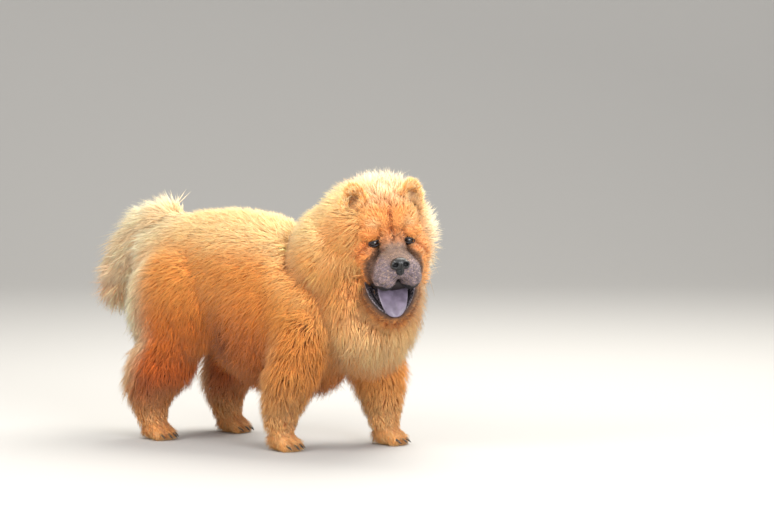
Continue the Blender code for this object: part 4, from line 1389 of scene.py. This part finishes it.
class ChowMouth(bpy.types.Operator):
    """Build the lips, the dark lining of the mouth and the tongue"""

    bl_idname = "chow.mouth"
    bl_label = "Mouth"

    def execute(self, context):
        head, jaw = head_matrix(), jaw_matrix()
        bm = bmesh.new()
        rows = ((0.66, -0.024), (0.90, -0.020), (0.97, -0.008), (1.00, 0.001), (0.98, 0.004))
        rows += ((0.92, 0.003), (0.82, -0.002), (0.70, -0.007), (0.50, -0.010))
        loops = []
        for share, rise in rows:
            verts = [bm.verts.new(p) for p in lip_loop(share, rise)]
            ring = zip(verts, verts[1:] + verts[:1])
            loops.append([bm.edges.new(pair) for pair in ring])
        for loop in (loops[0], loops[-1]):
            bmesh.ops.edgeloop_fill(bm, edges=loop)
        for low, high in zip(loops, loops[1:]):
            bmesh.ops.bridge_loops(bm, edges=low + high)
        bm.transform(jaw)
        lips = new_piece("lips", bm)
        round_off = lips.modifiers.new("round", "SUBSURF")
        round_off.levels = round_off.render_levels = 3
        take_result(lips)
        finish_piece(lips, "lip_skin", lip_material())
        bm = bmesh.new()
        add_egg(bm, head, (-0.018, 0.0, -0.088), (0.052, 0.050, 0.022))
        lining = new_piece("mouth_lining", bm)
        dark = plain_material("mouth_lining", (0.012, 0.005, 0.005), 0.7, 0.0, 0.3)
        finish_piece(lining, "lip_skin", dark)
        bm = bmesh.new()
        bmesh.ops.create_uvsphere(bm, u_segments=48, v_segments=32, radius=1.0)
        quarter_turn = Matrix.Rotation(math.pi / 2, 3, "Y")
        bmesh.ops.rotate(bm, verts=bm.verts, cent=(0, 0, 0), matrix=quarter_turn)
        for v in bm.verts:
            t = v.co.x
            wide = 0.0325 * (1.0 - 0.10 * max(t, 0.0) + 0.30 * max(t, 0.0) ** 3)
            z = v.co.z * 0.0075 + 0.008
            if v.co.z > 0:
                z -= 0.0034 * math.exp(-((v.co.y / 0.13) ** 2)) * (1 - max(t, 0) ** 4)
            z += 0.006 * v.co.y**2 - 0.010 * max(t - 0.35, 0.0) ** 2
            v.co = Vector((0.070 + 0.060 * t, v.co.y * wide + 0.002, z))
        bm.transform(jaw)
        tongue = new_piece("tongue_skin", bm)
        finish_piece(tongue, "tongue_skin", tongue_material())
        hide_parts("tongue")
        return {"FINISHED"}


class ChowClaws(bpy.types.Operator):
    """Build the four claws of each paw"""

    bl_idname = "chow.claws"
    bl_label = "Claws"

    def execute(self, context):
        bm = bmesh.new()
        for place in paw_matrices():
            for ahead, out in PAW_TOES:
                points = []
                for k in range(6):
                    t = k / 5
                    up = 0.0150 - 0.0030 * t - 0.0065 * t * t
                    spot = place @ Vector((ahead + 0.008 + 0.0155 * t, out, up))
                    points.append((spot, 0.0030 * (1 - t) ** 0.7 + 0.0005))
                add_tube(bm, points, 10)
        claws = new_piece("claws", bm)
        look = plain_material("claw", (0.045, 0.032, 0.026), 0.32, 0.2, 0.3, 700.0)
        finish_piece(claws, "claw", look)
        return {"FINISHED"}


def quarter(side, end):
    """Tells which places lie on one side of the body, and in its fore or rear half."""

    def keep(p):
        here = p[:, 1] * side > 0
        return here & (p[:, 0] * end > -0.02 * end) if end else here

    return keep


class ChowLongCoat(bpy.types.Operator):
    """Grow the long coat of the trunk, mane, bib, tail and thighs"""

    bl_idname = "chow.long_coat"
    bl_label = "Long coat"

    def execute(self, context):
        for side, name in ((1, "left"), (-1, "right")):
            for end, place in ((1, "fore"), (-1, "rear")):
                row = (f"coat_{place}_{name}", ["trunk"], 0.085, 0.0028, 1, "coat")
                grow_piece(*row, 10 + 2 * side + end, quarter(side, end))
            keep = quarter(side, 0)
            grow_piece(f"coat_mane_{name}", ["mane"], 0.060, 0.0030, 1, "mane", 15 + side, keep)
        locks = {"clump_size": 34, "clump_share": 0.75}
        grow_piece("coat_bib", ["bib"], 0.075, 0.0030, 1, "pale_coat", 4)
        grow_piece("coat_tail", ["tail"], 0.060, 0.0030, 1, "pale_coat", 5, **locks)
        grow_piece("coat_thighs", ["thigh"], 0.105, 0.0028, 1, "coat", 6)
        return {"FINISHED"}


class ChowShortCoat(bpy.types.Operator):
    """Grow the shorter coat of the legs, paws, head, muzzle, jaw and ears"""

    bl_idname = "chow.short_coat"
    bl_label = "Short coat"

    def execute(self, context):
        grow_piece("coat_forelegs", ["foreleg"], 0.065, 0.0025, 1, "coat", 7)
        grow_piece("coat_shanks", ["shank"], 0.065, 0.0025, 1, "coat", 8)
        grow_piece("coat_paws", ["paw"], 0.060, 0.0017, 0, "leg_coat", 9, clump_share=0.2)
        grow_piece("coat_head", ["skull"], 0.128, 0.0021, 1, "coat", 10, clump_share=0.25)
        face = ["muzzle", "jaw"]
        grow_piece("coat_face", face, 0.100, 0.0012, 0, "muzzle_skin", 11, clump_share=0.1)
        grow_piece("coat_ears", ["ear"], 0.030, 0.0020, 1, "coat", 12, clump_share=0.2)
        return {"FINISHED"}


class ChowStageBuild(bpy.types.Operator):
    """Set the floor, the soft lights and the camera"""

    bl_idname = "chow.stage"
    bl_label = "Stage"

    def execute(self, context):
        stage = settings().stage
        bm = bmesh.new()
        # The floor runs back behind the dog, then curves up into a wall
        a, e = VIEW_TURN, VIEW_HEIGHT
        behind = Vector((-math.sin(a), math.cos(a), 0.0))
        across = Vector((math.cos(a), math.sin(a), 0.0))
        profile = [(-9.0, 0.0), (4.0, 0.0)]
        for k in range(1, 17):
            b = math.pi / 2 * k / 16
            profile.append((4.0 + 3.0 * math.sin(b), 3.0 - 3.0 * math.cos(b)))
        profile.append((7.0, 7.0))
        edge = [behind * far + Vector((0, 0, up)) for far, up in profile]
        left = [bm.verts.new(p - across * 9.0) for p in edge]
        right = [bm.verts.new(p + across * 9.0) for p in edge]
        for k in range(len(edge) - 1):
            bm.faces.new((left[k], right[k], right[k + 1], left[k + 1]))
        mesh = bpy.data.meshes.new("floor")
        bm.to_mesh(mesh)
        bm.free()
        mesh.shade_smooth()
        floor = place_object("floor", mesh)
        mesh.materials.append(plain_material("floor", stage.floor, 0.85))
        world = bpy.data.worlds.new("studio")
        world.use_nodes = True
        sky = world.node_tree.nodes["Background"]
        sky.inputs["Color"].default_value = (1.0, 0.985, 0.96, 1.0)
        sky.inputs["Strength"].default_value = 0.85
        context.scene.world = world
        context.scene.view_settings.view_transform = "Standard"
        target = Vector((0.0, 0.0, 0.30)) + PLACE
        lights = (
            ("key", (-1.4, -2.8, 2.4), 1.8, stage.key, (1.0, 0.98, 0.94)),
            ("fill", (3.0, -1.6, 1.4), 2.0, stage.key * 1.05, (0.97, 0.98, 1.0)),
            ("top", (0.2, 1.4, 3.0), 2.4, stage.key * 1.45, (1.0, 0.97, 0.90)),
        )
        for name, place, size, power, tint in lights:
            lamp = bpy.data.lights.new(name, "AREA")
            lamp.size = size
            lamp.energy = power
            lamp.color = tint
            holder = place_object(name, lamp)
            holder.location = place
            holder.rotation_euler = (target - Vector(place)).to_track_quat("-Z", "Y").to_euler()
        lens = bpy.data.cameras.new("camera")
        lens.lens = LENS
        lens.clip_end = 50.0
        camera = place_object("camera", lens)
        back = Vector((math.sin(a) * math.cos(e), -math.cos(a) * math.cos(e), math.sin(e)))
        camera.location = LOOK_AT + PLACE + back * stage.distance
        camera.rotation_euler = back.to_track_quat("Z", "Y").to_euler()
        context.scene.camera = camera
        return {"FINISHED"}


class ChowPanel(bpy.types.Panel):
    """Lists the model's settings and the steps that build it"""

    bl_idname = "VIEW3D_PT_chow_chow"
    bl_label = "Chow Chow"
    bl_space_type = "VIEW_3D"
    bl_region_type = "UI"
    bl_category = "Chow Chow"

    def draw(self, context):
        chow = context.scene.chow_chow
        for title, group in (("Coat", chow.coat), ("Face", chow.face), ("Stage", chow.stage)):
            box = self.layout.box()
            box.label(text=title)
            for key in group.bl_rna.properties.keys():
                if key not in ("rna_type", "name"):
                    box.prop(group, key)
        for step in STEPS:
            self.layout.operator(step.bl_idname)


STEPS = (
    ChowSkin,
    ChowEyes,
    ChowNose,
    ChowMouth,
    ChowClaws,
    ChowLongCoat,
    ChowShortCoat,
    ChowStageBuild,
)
CLASSES = (ChowCoat, ChowFace, ChowStage, ChowChow, *STEPS, ChowPanel)


def register():
    for cls in CLASSES:
        bpy.utils.register_class(cls)
    bpy.types.Scene.chow_chow = PointerProperty(type=ChowChow)


def unregister():
    del bpy.types.Scene.chow_chow
    for cls in reversed(CLASSES):
        bpy.utils.unregister_class(cls)


def main():
    register()
    for step in STEPS:
        group, name = step.bl_idname.split(".")
        getattr(getattr(bpy.ops, group), name)()


if __name__ == "__main__":
    main()
